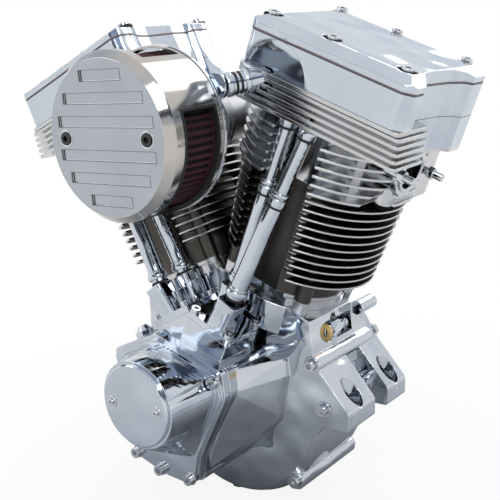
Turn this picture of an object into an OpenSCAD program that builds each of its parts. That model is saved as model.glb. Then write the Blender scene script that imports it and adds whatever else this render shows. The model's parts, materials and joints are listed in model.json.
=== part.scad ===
// Air-cooled 45 degree V-twin motorcycle engine with pushrod valve gear.
// Millimetres. +X is the front of the motorcycle, +Y its left side, +Z up.
// The origin is the centre of the four mounting bolts, on the plane of the mounting lugs.

/* [Engine layout] */
// Angle between the two cylinders, degrees
v_angle = 45; // [44:0.5:46]
// Height of the crankshaft's centre above the mounting plane
crank_h = 12; // [10:1:16]
// Cylinder bore
bore_d = 101.6; // [98:0.2:103]
// Stroke of the pistons
stroke = 114.3; // [108:0.1:116]
// Connecting rod, eye to eye
rod_len = 189; // [187:1:193]
// Crankshaft's centre to the cylinder decks
deck_h = 140; // [139:1:144]
// Length of a cylinder from deck to head joint
cyl_len = 140; // [138:1:146]

/* [Crankcase] */
// Outer radius of the flywheel chamber
case_r = 119; // [117:1:124]
// Width of one crankcase half
case_half = 54; // [53:1:57]
// Wall of the flywheel chamber
case_wall = 7; // [6:0.5:8]
// Distance from the engine's middle to a mounting bolt, fore and aft
mount_x = 145; // [143:1:149]
// Half the distance between a right and a left mounting bolt
mount_y = 38; // [37:0.5:40]
// How far the mounting bolts' middle lies left of the cylinders' plane
mount_mid = 10.5; // [9:0.5:12]
// Radius of a mounting bolt hole
mount_r = 6; // [5:0.25:6.5]
// Width of a left mounting lug
lug_w = 40; // [36:1:42]

/* [Flywheels and shafts] */
// Radius of the flywheels
wheel_r = 104; // [98:1:106]
// Space between the flywheels
wheel_gap = 29; // [28.6:0.1:31]
// Width of one flywheel
wheel_w = 29; // [26:1:30]
// Radius of the crankpin
crankpin_r = 16; // [15:0.5:17]
// Radius of the sprocket shaft
sprocket_shaft_r = 19; // [17:0.5:20]
// Length of the sprocket shaft outside the left case
sprocket_out = 46; // [40:1:52]
// Radius of the pinion shaft
pinion_shaft_r = 12; // [11:0.5:13]

/* [Cam chest] */
// Height of the camshaft above the crankshaft
cam_h = 45; // [44:0.5:47]
// Teeth on the pinion gear; the cam gear has twice as many
pinion_teeth = 16; // [14:1:18]
// Face width of the timing gears
gear_w = 6; // [5:0.5:6.5]
// Radius of a cam lobe's base circle
cam_base_r = 14; // [13:0.5:15]
// Lift of a cam lobe
cam_lift = 8; // [7:0.5:9]
// Distance between neighbouring cam lobes
lobe_pitch = 13.6; // [13.4:0.1:13.7]
// Width of a cam lobe
lobe_w = 8; // [6:0.5:9]
// Lean of the tappets from upright, degrees
lifter_angle = 28; // [27:0.5:30]
// How much more the exhaust tappets lean, and the intake tappets less, degrees
lean_spread = 5; // [4:0.5:6]
// Radius of a hydraulic tappet
lifter_r = 10.7; // [10:0.1:11]
// Depth of the gearcase, from the crankcase wall to its gasket face
chest_depth = 70; // [69:1:74]
// Thickness of the gearcase cover's lip
cover_lip = 14; // [12:1:16]
// Distance from the engine's middle to the end of the nose cone
nose_y = 199; // [196:1:204]
// Radius of the round timer cover
timer_cover_r = 44; // [42:0.5:46]

/* [Tappet blocks] */
// Distance from the camshaft to the tappet blocks' seats
seat_dist = 64; // [63:0.5:66]
// Height of a tappet block
block_h = 40; // [36:1:42]

/* [Cylinders] */
// Radius of the lowest cooling fin
fin_r = 83; // [80:0.5:84]
// How much larger the highest fin is
fin_growth = 7; // [5:0.5:9]
// Thickness of a fin
fin_t = 2.6; // [2:0.1:3]
// Distance from one fin to the next
fin_pitch = 9.2; // [9:0.1:9.6]
// Number of fins on a cylinder
fin_count = 11; // [9:1:11]
// Outer radius of the cylinder's barrel
barrel_r = 60; // [58:0.5:61]
// Radius of a cylinder stud
stud_r = 4.8; // [4:0.1:5]
// Distance from the bore's centre to a stud, each way
stud_pos = 46.5; // [46:0.25:48]

/* [Cylinder heads] */
// Height of the head's left deck above the cylinder joint
head_h = 61; // [60:1:64]
// Height of the shelf that carries the pushrod side of the rocker box
shelf_h = 35; // [33:1:36]
// Lean of the valves from the cylinder's axis, degrees
valve_tilt = 14; // [13:0.5:15]
// Radius of an intake valve
intake_valve_r = 24; // [22:0.5:24.5]
// Radius of an exhaust valve
exhaust_valve_r = 20.5; // [19:0.5:21]
// Radius of a valve stem
stem_r = 4; // [3.5:0.25:4.5]
// Radius of an exhaust port
exhaust_port_r = 19; // [17:0.5:20]

/* [Rocker boxes] */
// Height of the rocker box's right wall
box_h = 35; // [34:0.5:37]
// Thickness of the rocker cover
cover_h = 13; // [12:0.5:15]
// Wall of the rocker box
box_wall = 7; // [6:0.5:8]
// Length of a rocker arm's pushrod lever
pushrod_arm = 28; // [26:0.5:29]
// Length of a rocker arm's valve lever
valve_arm = 44; // [43:0.5:45]

/* [Pushrods] */
// Radius of a pushrod
pushrod_r = 4; // [3.5:0.25:4]
// Radius of the upper pushrod tubes
tube_upper_r = 7; // [6.8:0.1:7.4]
// Radius of the lower pushrod tubes
tube_lower_r = 9; // [8.8:0.1:9.5]
// Wall of a pushrod tube
tube_wall = 1; // [0.8:0.05:1.1]

/* [Intake and air cleaner] */
// Height of the intake's centre above the crankshaft
intake_h = 313; // [310:0.5:316]
// Inner radius of the manifold
manifold_r = 18; // [16:0.5:19]
// Bore radius of the carburettor
carb_r = 23; // [20:0.5:24]
// Radius of the air cleaner
cleaner_r = 82; // [78:0.5:84]
// Distance from the engine's middle to the air cleaner's face
cleaner_y = 205; // [202:0.5:208]
// Depth of the air cleaner from face to backplate
cleaner_depth = 76; // [72:0.5:80]
// Wall of the air cleaner's shell
shell_wall = 2.4; // [2:0.1:3]

/* [Hidden] */
$fn = 64;

eps = 0.5;
far = 400;
run = 0.05;       // running fit of a shaft in its bore
gap = 0.3;        // clearance between pieces that pass each other
FRONT = 1;
REAR = -1;
half_v = v_angle / 2;
bore_r = bore_d / 2;
crank_r = stroke / 2;
head_joint = deck_h + cyl_len;
head_top = head_joint + head_h;
shelf_top = head_top + shelf_h;
box_top = shelf_top + box_h;
cover_top = box_top + cover_h;

// rocker box outline in the cylinder's own frame: a is outwards from the V, y is left
box_in = -74;
box_out = 110;
box_right = -91;
box_left = 67;
box_mid = (box_in + box_out) / 2;
recess = 14;      // depth of the hollow between the posts at the outer end of a rocker box
recess_in = 8;    // the same at the inner end
shelf_y = -34;    // the shelf's inner face

// crank chamber
chamber_half = case_half - case_wall;
chamber_r = case_r - case_wall - 4;
gasket_y = -case_half - chest_depth;
lip_y = gasket_y - cover_lip;
bearing_r = 34;

// timing gears
gear_m = cam_h / (1.5 * pinion_teeth);
cam_nose_r = cam_base_r + cam_lift;
last_lobe_y = gasket_y + 16.5;
function lobe_y(i) = last_lobe_y + i * lobe_pitch;
gear_y0 = gasket_y + gap + 2.7;
roller_r = 9;
roller_dist = cam_nose_r + roller_r + gap;
lifter_foot = roller_dist + 3;
lifter_len = 50;
lifter_top = lifter_foot + lifter_len;
block_top = seat_dist + block_h;

// the four valve trains: [cylinder, 1 for intake, lobe, lever place a of the pushrod]
TRAIN_FE = [FRONT, 0, 0, 22];
TRAIN_RE = [REAR, 0, 1, 22];
TRAIN_FI = [FRONT, 1, 2, -13];
TRAIN_RI = [REAR, 1, 3, -13];
TRAINS = [TRAIN_FE, TRAIN_RE, TRAIN_FI, TRAIN_RI];
seat_h = head_joint + 10;
seat_a_in = -24;
seat_a_ex = 27;
shaft_z = 96;
shaft_y = -valve_arm;
shaft_r = 7;
spring_z0 = 44;
spring_z1 = 82;
spring_r = 15;
retainer_h = 5;
stem_tip = shaft_z - 7;
ball_r = pushrod_r + 0.4;
cup_deep = 4;
lever_under = 5;  // the flat underside of a pushrod lever, below its shaft

function tilt(t) = t[1] == 1 ? -valve_tilt : valve_tilt;
function seat_a(t) = t[1] == 1 ? seat_a_in : seat_a_ex;
function head_r(t) = t[1] == 1 ? intake_valve_r : exhaust_valve_r;
// place of the pushrod lever along the rocker shaft, measured from the valve's stem
function lever_x(t) = (t[3] - seat_a(t) - shaft_z * sin(tilt(t))) / cos(tilt(t));

// a point given in a cylinder's frame, in the crankshaft's frame
function cyl_pt(side, a, y, h) =
  [side * (a * cos(half_v) + h * sin(half_v)), y, h * cos(half_v) - a * sin(half_v)];
// a point given in a valve's frame, in the crankshaft's frame
function valve_pt(t, x, y, z) = cyl_pt(t[0],
  seat_a(t) + x * cos(tilt(t)) + z * sin(tilt(t)), y,
  seat_h - x * sin(tilt(t)) + z * cos(tilt(t)));
function lean(t) = lifter_angle + (t[1] == 1 ? -lean_spread : lean_spread);
function lifter_pt(t, s) = [t[0] * s * sin(lean(t)), lobe_y(t[2]), cam_h + s * cos(lean(t))];
function rod_foot(t) = lifter_pt(t, lifter_top - cup_deep + ball_r + gap);
function rod_head(t) = valve_pt(t, lever_x(t), shaft_y - pushrod_arm,
  shaft_z - lever_under - ball_r - gap);
function between(p, q, k) = p + (q - p) * k;

// eases each corner of an outline with a short curve
function eased(pts, r, n = 4) = [for (i = [0:len(pts) - 1])
  let (p = pts[i], a = pts[(i + len(pts) - 1) % len(pts)], b = pts[(i + 1) % len(pts)],
    u = (a - p) / norm(a - p), v = (b - p) / norm(b - p))
  for (k = [0:n]) let (t = k / n)
    (1 - t) * (1 - t) * (p + u * r) + 2 * t * (1 - t) * p + t * t * (p + v * r)];

module at_crank() translate([0, -mount_mid, crank_h]) children();
module cyl_frame(side) {
  if (side > 0) rotate([0, half_v, 0]) children();
  else mirror([1, 0, 0]) rotate([0, half_v, 0]) children();
}
module lifter_frame(side) {
  translate([0, 0, cam_h]) {
    if (side > 0) rotate([0, lifter_angle, 0]) children();
    else mirror([1, 0, 0]) rotate([0, lifter_angle, 0]) children();
  }
}
module tappet_frame(t) translate([0, lobe_y(t[2]), cam_h]) {
  if (t[0] > 0) rotate([0, lean(t), 0]) children();
  else mirror([1, 0, 0]) rotate([0, lean(t), 0]) children();
}
module valve_frame(t) cyl_frame(t[0]) translate([seat_a(t), 0, seat_h]) rotate([0, tilt(t), 0])
  children();
// a plate that stands upright along X and Z, between two places along Y
module slab(y0, y1) translate([0, y1, 0]) rotate([90, 0, 0]) linear_extrude(y1 - y0) children();
module rod_y(x, z, r, y0, y1) translate([x, y1, z]) rotate([90, 0, 0]) cylinder(r = r, h = y1 - y0);
module rod_between(p, q, r, r2 = 0) {
  d = q - p;
  translate(p) rotate([0, acos(d[2] / norm(d)), atan2(d[1], d[0])])
    cylinder(r1 = r, r2 = r2 > 0 ? r2 : r, h = norm(d));
}
// a profile of [radius, depth] turned about an axis along Y; depth runs to the right of y0
module turned_y(x, z, y0, profile) translate([x, y0, z]) rotate([90, 0, 0])
  rotate_extrude() polygon(profile);
module box(lo, hi) translate(lo) cube(hi - lo);
module soft_rect(lo, hi, r) polygon(eased([lo, [hi[0], lo[1]], hi, [lo[0], hi[1]]], r));
// socket head cap screw, head up from z = 0, shank down
module cap_screw(r, len) difference() {
  union() {
    cylinder(r = 1.55 * r, h = 1.7 * r);
    translate([0, 0, -len]) cylinder(r = r, h = len + eps);
  }
  translate([0, 0, 0.8 * r]) cylinder(r = 0.85 * r, h = 2 * r, $fn = 6);
}
// removes what crosses to the other cylinder's side of the V
module keep_side(side, g) difference() {
  children();
  translate([side > 0 ? g - far : -g, -far / 2, -far / 2]) cube([far, far, 2 * far]);
}

// crankcase
deck_r = 64;
spigot_r = 54;
spigot_deep = 11;
base_flange_h = 10;
case_bolt_r = 4;
boss_r = 10;
front_bolts = [[114, 57], [126, 9], [case_r * 0.71, -case_r * 0.71]];
case_bolts = [for (s = [1, -1], p = front_bolts) [s * p[0], p[1]]];
deck_out = 66;
lug_top = 88;
lug_pts = [[80, lug_top], [103, lug_top - 1], [mount_x - 23, 52], [mount_x + 12, 9],
  [mount_x + 11, -crank_h], [mount_x - 22, -crank_h], [112, -27], [70, 0]];
lug_floor = 2;    // the seat of a mounting bolt's washer
lug_end = mount_mid + mount_y + lug_w / 2;
chest_c = [-18, 10];
chest_pts = [[-96, 68], [-32, 95], [57, 66], [60, 37], [19, -37], [12, -67], [-1, -74],
  [-36, -71], [-79, -57]];
// the chest's front wall flares out to a wider foot on the crankcase
chest_front = [[30, 60], [54, 62], [57, 38], [18, -34], [10, -62], [-10, -60], [-10, 40]];
chest_foot = [[30, 62], [84, 60], [85, 40], [73, -12], [14, -68], [-10, -64], [-10, 40]];
screw_r = 3.8;
union_at = [112, -10, 84];  // the oil union's centre
ridge_at = [121, 97];       // the ridge along the top of the left half's front
cover_screws_xz = [[50, 56], [-72, -50], [-38, -63], [5, -64]];
bearing_w = 16;
pinion_bearing_w = 7;  // narrow, to leave room for the cam beside it
boss_out = 21;     // the left main bearing's boss outside the case
primary_pcd = 130;
primary_bolt_r = 4.2;
primary_count = 4;
function deck_xz(side) = let (p = cyl_pt(side, deck_out, 0, deck_h)) [p[0], p[2]];
function shrunk(pts, c, k) = [for (p = pts) c + (p - c) * k];

module deck_outline() polygon([[-118, 36], deck_xz(REAR), [0, deck_h / cos(half_v)],
  deck_xz(FRONT), [118, 36]]);
module both_ends() {
  children();
  mirror([1, 0, 0]) children();
}
// one half of the crankcase, drawn to the right of the parting plane, with a lug at each end
// between two places along Y and its bolt hole at a third
module case_half_shape(lug_lo, lug_hi, hole_y) difference() {
  union() {
    slab(-case_half, 0) deck_outline();
    turned_y(0, 0, 0, [[0, 0], [case_r, 0], [case_r, case_half - 11],
      [case_r - 3, case_half - 4], [case_r - 9, case_half], [0, case_half]]);
    intersection() {
      for (side = [FRONT, REAR]) keep_side(side, 0) cyl_frame(side)
        translate([0, 0, deck_h - 34]) cylinder(r = deck_r, h = 34);
      box([-far, -far, 0], [far, 0, far]);
    }
    both_ends() slab(-lug_hi, -lug_lo) polygon(eased(lug_pts, 4));
    for (p = case_bolts) rod_y(p[0], p[1], boss_r, -case_half, 0);
  }
  turned_y(0, 0, 1, [[0, 0], [chamber_r, 0], [chamber_r, chamber_half - 5],
    [chamber_r - 6, chamber_half + 1], [0, chamber_half + 1]]);
  for (side = [FRONT, REAR]) cyl_frame(side) {
    translate([0, 0, 60]) cylinder(r = spigot_r + gap / 2, h = far);
    stud_places() translate([0, 0, deck_h - 23]) cylinder(r = stud_r + gap / 2, h = 40);
  }
  both_ends() {
    translate([mount_x, -hole_y, -crank_h - eps]) cylinder(r = mount_r, h = 90);
    translate([mount_x, -hole_y, lug_floor]) cylinder(r = 1.9 * mount_r, h = 60);
  }
  for (p = case_bolts) rod_y(p[0], p[1], case_bolt_r + gap / 2, -far, eps);
  rod_y(union_at[0], union_at[2], 12, -26, eps);
}
module stud_places() for (sx = [-1, 1], sy = [-1, 1])
  translate([sx * stud_pos, sy * stud_pos, 0]) children();

module crankcase_left() color([0.8, 0.81, 0.83]) at_crank() difference() {
  union() {
    mirror([0, 1, 0]) case_half_shape(lug_end - lug_w, lug_end, mount_y + mount_mid);
    rod_y(ridge_at[0], ridge_at[1], 8, 28, case_half + 6);
    turned_y(0, 0, case_half + boss_out, [[0, 0], [bearing_r + 9, 0], [bearing_r + 12, 4],
      [bearing_r + 16, boss_out + 4], [0, boss_out + 4]]);
    for (k = [0:primary_count - 1]) let (a = 45 + k * 360 / primary_count)
      rod_y(primary_pcd / 2 * cos(a), primary_pcd / 2 * sin(a), 12, case_half - eps,
        case_half + boss_out);
  }
  rod_y(0, 0, bearing_r, case_half + 1, case_half + 1 + bearing_w + run);
  rod_y(0, 0, main_shaft_r + gap, 0, far);
  for (k = [0:primary_count - 1]) let (a = 45 + k * 360 / primary_count)
    rod_y(primary_pcd / 2 * cos(a), primary_pcd / 2 * sin(a), primary_bolt_r,
      case_half + 2, case_half + boss_out + eps);
}
module crankcase_right() color([0.8, 0.81, 0.83]) at_crank() difference() {
  union() {
    case_half_shape(0, case_half, mount_y - mount_mid);
    difference() {
      union() {
        slab(gasket_y, -case_half + eps) polygon(eased(chest_pts, 6));
        hull() {
          slab(gasket_y + 6, gasket_y + 7) polygon(chest_front);
          slab(-case_half - 1, -case_half + 3) polygon(chest_foot);
        }
      }
      slab(gasket_y - 1, -case_half) {
        polygon(eased(shrunk(chest_pts, chest_c, 0.87), 5));
        translate([0, cam_h]) circle(r = 2 * cam_h / 3 + 5);
      }
    }
    for (t = [TRAIN_FE, TRAIN_RE]) tappet_pad(t);
    rod_y(0, 0, bearing_r - 2, -case_half - pinion_bearing_w - 1, -case_half);
    for (p = cover_screws_xz) rod_y(p[0], p[1], 8, gasket_y, -case_half);
  }
  for (t = TRAINS) lifter_bore(t, lifter_r + gap);
  translate(union_at - [0, 0, 22 + run]) cylinder(r = 6 + run, h = 40);
  for (t = [TRAIN_FE, TRAIN_RE]) lifter_frame(t[0]) box([-block_half - 1,
    lobe_y(t[2]) - block_edge - 2, seat_dist], [block_half + 1, lobe_y(t[2] + 2) + block_edge + 2,
    seat_dist + 60]);
  rod_y(0, 0, bearing_r - 8, -case_half - pinion_bearing_w - run, -case_half + 1);
  rod_y(0, 0, pinion_shaft_r + gap, -far, -case_half + 20);
  rod_y(0, cam_h, 9 + run, -case_half - eps, -case_half + 5);
  for (p = cover_screws_xz) rod_y(p[0], p[1], screw_r + gap / 2, gasket_y - 1, gasket_y + 17);
}
module tappet_pad(t) difference() {
  lifter_frame(t[0]) box([-block_half + 1, lobe_y(t[2]) - block_edge, 34],
    [block_half - 1, lobe_y(t[2] + 2) + block_edge, seat_dist]);
  slab(gasket_y, -case_half) translate([0, cam_h]) circle(r = cam_nose_r + 4);
}
module lifter_bore(t, r) tappet_frame(t) translate([0, 0, 20]) cylinder(r = r, h = far / 4);
block_edge = 12.4;

// a bolt that passes through a left lug is as long as the lug is wide
function nut_y(p) = p[1] > 0 ? lug_end : case_half;
module crankcase_bolts() color([0.86, 0.87, 0.88]) at_crank() for (p = case_bolts)
  translate([p[0], 0, p[1]]) {
    translate([0, -case_half, 0]) rotate([90, 0, 0]) cap_screw(case_bolt_r, case_half + nut_y(p) + 8);
    translate([0, nut_y(p), 0]) rotate([-90, 0, 0]) difference() {
      cylinder(r = 1.9 * case_bolt_r, h = 6, $fn = 6);
      translate([0, 0, -eps]) cylinder(r = case_bolt_r + run, h = 7);
    }
  }
// drain plug, the chest's relief dome and the oil fitting beside the front cylinder
module crankcase_fittings() color([0.82, 0.83, 0.85]) at_crank() {
  difference() {
    translate([-20, -27, -case_r - 9]) {
      cylinder(r = 9, h = 12, $fn = 6);
      translate([0, 0, 6]) cylinder(r = 13, h = 12);
    }
    rod_y(0, 0, case_r + run, -case_half, 0);
  }
  translate([union_at[0], union_at[1], union_at[2]]) {
    translate([0, 0, -22]) cylinder(r = 6, h = 22);
    rotate([-90, 0, 0]) {
      translate([0, 0, -8]) cylinder(r = 10, h = 16, $fn = 6);
      cylinder(r = 6.5, h = 24);
      translate([0, 0, 19]) cylinder(r1 = 8, r2 = 6, h = 5);
      translate([0, 0, -14]) cylinder(r1 = 6, r2 = 8, h = 8);
    }
  }
  translate([-84, -96, 73.4]) rotate([0, -22.9, 0]) {
    cylinder(r = 11, h = 6, $fn = 6);
    translate([0, 0, 6]) cylinder(r1 = 9, r2 = 5, h = 6);
  }
}
// outline turned into distances from a centre, one for each direction
function cross2(a, b) = a[0] * b[1] - a[1] * b[0];
function reach(pts, c, ang) = max([for (i = [0:len(pts) - 1])
  let (p = pts[i] - c, q = pts[(i + 1) % len(pts)] - c, d = [cos(ang), sin(ang)],
    e = q - p, den = cross2(d, e))
  abs(den) < 0.0001 ? 0 : let (t = cross2(p, e) / den, u = cross2(p, d) / den)
    (t > 0 && u >= 0 && u <= 1) ? t : 0]);
nose_r = timer_cover_r + 3;
nose_c = [-2, cam_h - 2];
nose_rings = 9;
nose_sides = 60;
body_pts = [[-88, 62], [-32, 87], [49, 60], [51, 39], [14, -38], [-74, -48]];
// the nose cone: the cover's body drawn in from its outline to the round timer housing
module nose_loft() {
  outline = eased(body_pts, 10, 3);
  ring_pts = [for (j = [0:nose_rings]) let (t = j / nose_rings, k = 1 - pow(1 - t, 1.7))
    for (i = [0:nose_sides - 1]) let (ang = i * 360 / nose_sides,
      r = (1 - k) * reach(outline, nose_c, ang) + k * nose_r)
      [nose_c[0] + r * cos(ang), lip_y + 1 - t * (nose_y - 1 + lip_y + 2), nose_c[1] + r * sin(ang)]];
  last = nose_rings * nose_sides;
  polyhedron(ring_pts, concat(
    [[for (i = [0:nose_sides - 1]) i]],
    [for (j = [0:nose_rings - 1], i = [0:nose_sides - 1]) let (a = j * nose_sides + i,
      b = j * nose_sides + (i + 1) % nose_sides)
      each [[a, a + nose_sides, b + nose_sides], [a, b + nose_sides, b]]],
    [[for (i = [nose_sides - 1:-1:0]) last + i]]));
}
module gearcase_cover() color([0.86, 0.87, 0.89]) at_crank() difference() {
  union() {
    slab(lip_y + 4, gasket_y) polygon(eased(chest_pts, 6));
    slab(lip_y, lip_y + 6) polygon(eased(shrunk(chest_pts, chest_c, 0.95), 5));
    nose_loft();
  }
  rod_y(nose_c[0], nose_c[1], timer_cover_r - 5, -far, -nose_y + 34);
  rod_y(0, cam_h, 9 + run, -far, gasket_y + 1);
  rod_y(0, 0, pinion_shaft_r + run, lip_y + 2, gasket_y + 1);
  for (p = cover_screws_xz) {
    rod_y(p[0], p[1], screw_r + gap / 2, lip_y - 1, gasket_y + 1);
    rod_y(p[0], p[1], 2 * screw_r, -far, lip_y);
  }
  for (s = [-1, 1]) rod_y(nose_c[0] + s * timer_screw_x, nose_c[1], 2, -far, -nose_y + 12);
}
timer_screw_x = 31;
timer_t = 4;
module timer_cover() color([0.84, 0.86, 0.89]) at_crank() difference() {
  turned_y(nose_c[0], nose_c[1], -nose_y, [[0, 0], [timer_cover_r, 0], [timer_cover_r, timer_t - 1.5],
    [timer_cover_r - 1.5, timer_t], [0, timer_t]]);
  for (s = [-1, 1]) rod_y(nose_c[0] + s * timer_screw_x, nose_c[1], 2.4, -far, 0);
}
module cover_screws() color([0.7, 0.71, 0.73]) at_crank() {
  for (p = cover_screws_xz) translate([p[0], lip_y, p[1]]) rotate([90, 0, 0])
    cap_screw(screw_r, cover_lip + 14);
  for (s = [-1, 1]) translate([nose_c[0] + s * timer_screw_x, -nose_y - timer_t, nose_c[1]])
    rotate([90, 0, 0]) cap_screw(2, timer_t + 8);
  for (t = [TRAIN_FE, TRAIN_RE]) block_screw_places(t) cap_screw(block_screw_r, block_flange - 1);
}

// tappet blocks: one for each cylinder, with two sleeves that lean apart
block_flange = 8;
block_half = 29;
block_screw_r = 3.2;
sleeve_r = lifter_r + 1.5;
module block_screw_places(t) for (sx = [-1, 1], e = [0, 1])
  translate([0, e == 0 ? lobe_y(t[2]) - 8.5 : lobe_y(t[2] + 2) + 8.5, 0]) lifter_frame(t[0])
    translate([sx * 24, 0, seat_dist + block_flange]) children();
module tappet_block(t, u) color([0.86, 0.87, 0.89]) at_crank() difference() {
  union() {
    lifter_frame(t[0]) translate([0, 0, seat_dist]) linear_extrude(block_flange)
      soft_rect([-block_half, lobe_y(t[2]) - block_edge], [block_half, lobe_y(u[2]) + block_edge], 4);
    lifter_frame(t[0]) translate([0, 0, seat_dist + 1]) linear_extrude(block_h - 12)
      soft_rect([-9, lobe_y(t[2]) + 3], [9, lobe_y(u[2]) - 3], 2);
    for (v = [t, u]) tappet_frame(v) translate([0, 0, seat_dist + 2]) linear_extrude(block_h + 1)
      soft_rect([-sleeve_r, -sleeve_r], [sleeve_r, sleeve_r], 5);
  }
  for (v = [t, u]) {
    lifter_bore(v, lifter_r + run);
    rod_between(tube_line(v, tube_start_k), tube_line(v, 0.2), sleeve_r + 5);
  }
  block_screw_places(t) translate([0, 0, -far / 8]) cylinder(r = block_screw_r + gap / 2, h = far / 4);
}
module front_tappet_block() tappet_block(TRAIN_FE, TRAIN_FI);
module rear_tappet_block() tappet_block(TRAIN_RE, TRAIN_RI);

// cylinders
fin_top = head_joint - 5;
fin_shift = 4;    // the fins stand further out of the V than the bore
module cylinder_part(side) color([0.45, 0.45, 0.46]) at_crank() keep_side(side, 1)
  cyl_frame(side) difference() {
    union() {
      rotate_extrude() polygon([[bore_r, deck_h - spigot_deep], [spigot_r, deck_h - spigot_deep],
        [spigot_r, deck_h], [62, deck_h], [62, deck_h + base_flange_h],
        [barrel_r, deck_h + base_flange_h], [barrel_r, head_joint - 3],
        [barrel_r + 5, head_joint - 3], [barrel_r + 5, head_joint], [bore_r, head_joint]]);
      translate([fin_shift, 0, 0]) rotate_extrude() polygon(concat(
        [[barrel_r - fin_shift, deck_h + base_flange_h + 1]],
        [for (i = [fin_count - 1:-1:0]) let (z = fin_top - i * fin_pitch,
          r = fin_r + fin_growth * (1 - i / (fin_count - 1)))
          each [[barrel_r - 1, z - fin_t], [r, z - fin_t + 0.4], [r, z - 0.4], [barrel_r - 1, z]]],
        [[barrel_r - fin_shift, head_joint - 4]]));
      stud_places() translate([0, 0, deck_h]) cylinder(r = stud_r + 4, h = cyl_len, $fn = 24);
    }
    stud_places() translate([0, 0, deck_h - 1]) cylinder(r = stud_r + gap, h = far, $fn = 24);
    box([-36, -far, deck_h - eps], [36, -57, head_joint + eps]);
    box([-far, -far, deck_h - eps], [far, -53.5, deck_h + base_flange_h + 4]);
  }
module front_cylinder() cylinder_part(FRONT);
module rear_cylinder() cylinder_part(REAR);
module cylinder_studs() color([0.5, 0.5, 0.52]) at_crank() for (side = [FRONT, REAR])
  cyl_frame(side) stud_places() {
    translate([0, 0, deck_h - 22]) cylinder(r = stud_r, h = head_top - deck_h + 30);
    translate([0, 0, head_top]) cylinder(r = 8.5, h = 7, $fn = 6);
  }

// cylinder heads
head_fin_pitch = 9.2;
shelf_fin_pitch = 6.6;
exhaust_h = 319.5 - 280;    // the port's centre above the cylinder joint
exhaust_y = -8;
exhaust_face = 98;
exhaust_boss_r = 26;
intake_face = 47;           // distance of the intake flanges from the engine's middle
intake_boss_r = 26;
plug_lean = 58;
plug_turn = 25;             // towards the V
plug_base = [0, 24, 14];    // the plug's tip above the joint, in the cylinder's frame
head_bore_gap = 1;
module head_outline() intersection() {
  translate([4, 0]) circle(r = 95);
  soft_rect([box_in, -88], [98, 66], 14);
}
module below_head_top() translate([-far, -far, head_top - 0.5 - far]) cube([2 * far, 2 * far, far]);
module head_part(side) color([0.72, 0.73, 0.75]) at_crank() keep_side(side, 1) difference() {
  union() {
    cyl_frame(side) {
      translate([0, 0, head_joint]) linear_extrude(head_h) soft_rect([-62, -60], [72, 60], 12);
      difference() {
        for (i = [0:5]) translate([0, 0, head_joint + 2.5 + i * head_fin_pitch])
          linear_extrude(fin_t) head_outline();
        // room for the exhaust pipe's clamp, and for the pushrod tubes
        translate([76, -40, head_joint - 5]) rotate([0, 28, 0]) box([0, -60, 0], [70, 22, 90]);
        box([-18, -far, head_joint - 1], [38, -60, head_top - 2]);
      }
      translate([0, 0, head_joint + 1]) linear_extrude(head_h - 1.5)
        soft_rect([50, shelf_y + 6], [exhaust_face - 5, box_left - 1], 12);
      translate([0, 0, head_top - 2]) linear_extrude(2) box_outline(shelf_y);
      translate([0, 0, head_top - 2]) linear_extrude(shelf_h + 2)
        soft_rect([box_in + 7, -82], [box_out - 4, shelf_y + 0.5], 5);
      for (i = [0:4]) translate([0, 0, head_top + 0.5 + i * shelf_fin_pitch]) linear_extrude(3.2)
        soft_rect([box_in, box_right], [box_out + 7 - i, shelf_y + 0.5], 5);
      translate([0, 0, shelf_top - 4]) linear_extrude(4)
        soft_rect([box_in, box_right], [box_out, shelf_y + 0.5], 5);
      intersection() {
        translate([50, exhaust_y, head_joint + exhaust_h]) rotate([0, 90, 0])
          cylinder(r = exhaust_boss_r, h = exhaust_face - 50);
        below_head_top();
      }
      translate(plug_base + [0, 0, head_joint]) rotate([-plug_lean, 0, plug_turn]) cylinder(r = 13, h = 52);
    }
    intersection() {
      translate([side > 0 ? intake_face : -intake_face - 30, 0, intake_h]) rotate([0, 90, 0])
        cylinder(r = intake_boss_r, h = 30);
      cyl_frame(side) below_head_top();
    }
  }
  cyl_frame(side) {
    translate([0, 0, head_joint - 1]) cylinder(r = bore_r - head_bore_gap, h = 6);
    translate([60, exhaust_y, head_joint + exhaust_h]) rotate([0, 90, 0])
      cylinder(r = exhaust_port_r, h = exhaust_face - 59);
    translate([30, exhaust_y, head_joint + exhaust_h]) rotate([0, 90, 0])
      cylinder(r = exhaust_port_r - 1, h = 31);
    stud_places() translate([0, 0, head_joint - 1]) cylinder(r = stud_r + gap, h = far);
    stud_places() translate([0, 0, head_top]) cylinder(r = 10.5, h = far);
    translate(plug_base + [0, 0, head_joint]) rotate([-plug_lean, 0, plug_turn]) {
      translate([0, 0, -20]) cylinder(r = 7 + run, h = 100);
      translate([0, 0, 22]) cylinder(r = 11.5, h = 100);
    }
    for (s = [-1, 1]) exhaust_stud_place(s) translate([0, 0, -14]) cylinder(r = 4 + run, h = 30);
  }
  along_x(side > 0 ? 30 : -102, side > 0 ? 102 : -30, manifold_r);
  along_x(side > 0 ? -1 : -intake_face, side > 0 ? intake_face : 1, manifold_r + 10);
  breather_line(side, breather_r + run);
  cyl_frame(side) translate([0, 0, head_top + 22]) linear_extrude(far)
    soft_rect([box_in + 12, -77], [box_out - 16, shelf_y + 2], 4);
  for (t = TRAINS) if (t[0] == side) {
    valve_frame(t) {
      translate([0, 0, -25]) cylinder(r = head_r(t) + 1.5, h = 27.5);
      cylinder(r = head_r(t) - 3, h = 30);
      cylinder(r = stem_r + run, h = far);
      translate([0, 0, spring_z0]) cylinder(r = spring_r + 3, h = far);
    }
    rod_between(rod_foot(t), between(rod_foot(t), rod_head(t), 2), pushrod_r + 2.5);
    rod_between(rod_foot(t), tube_line(t, tube_end_k), tube_upper_r + run);
  }
}
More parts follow.
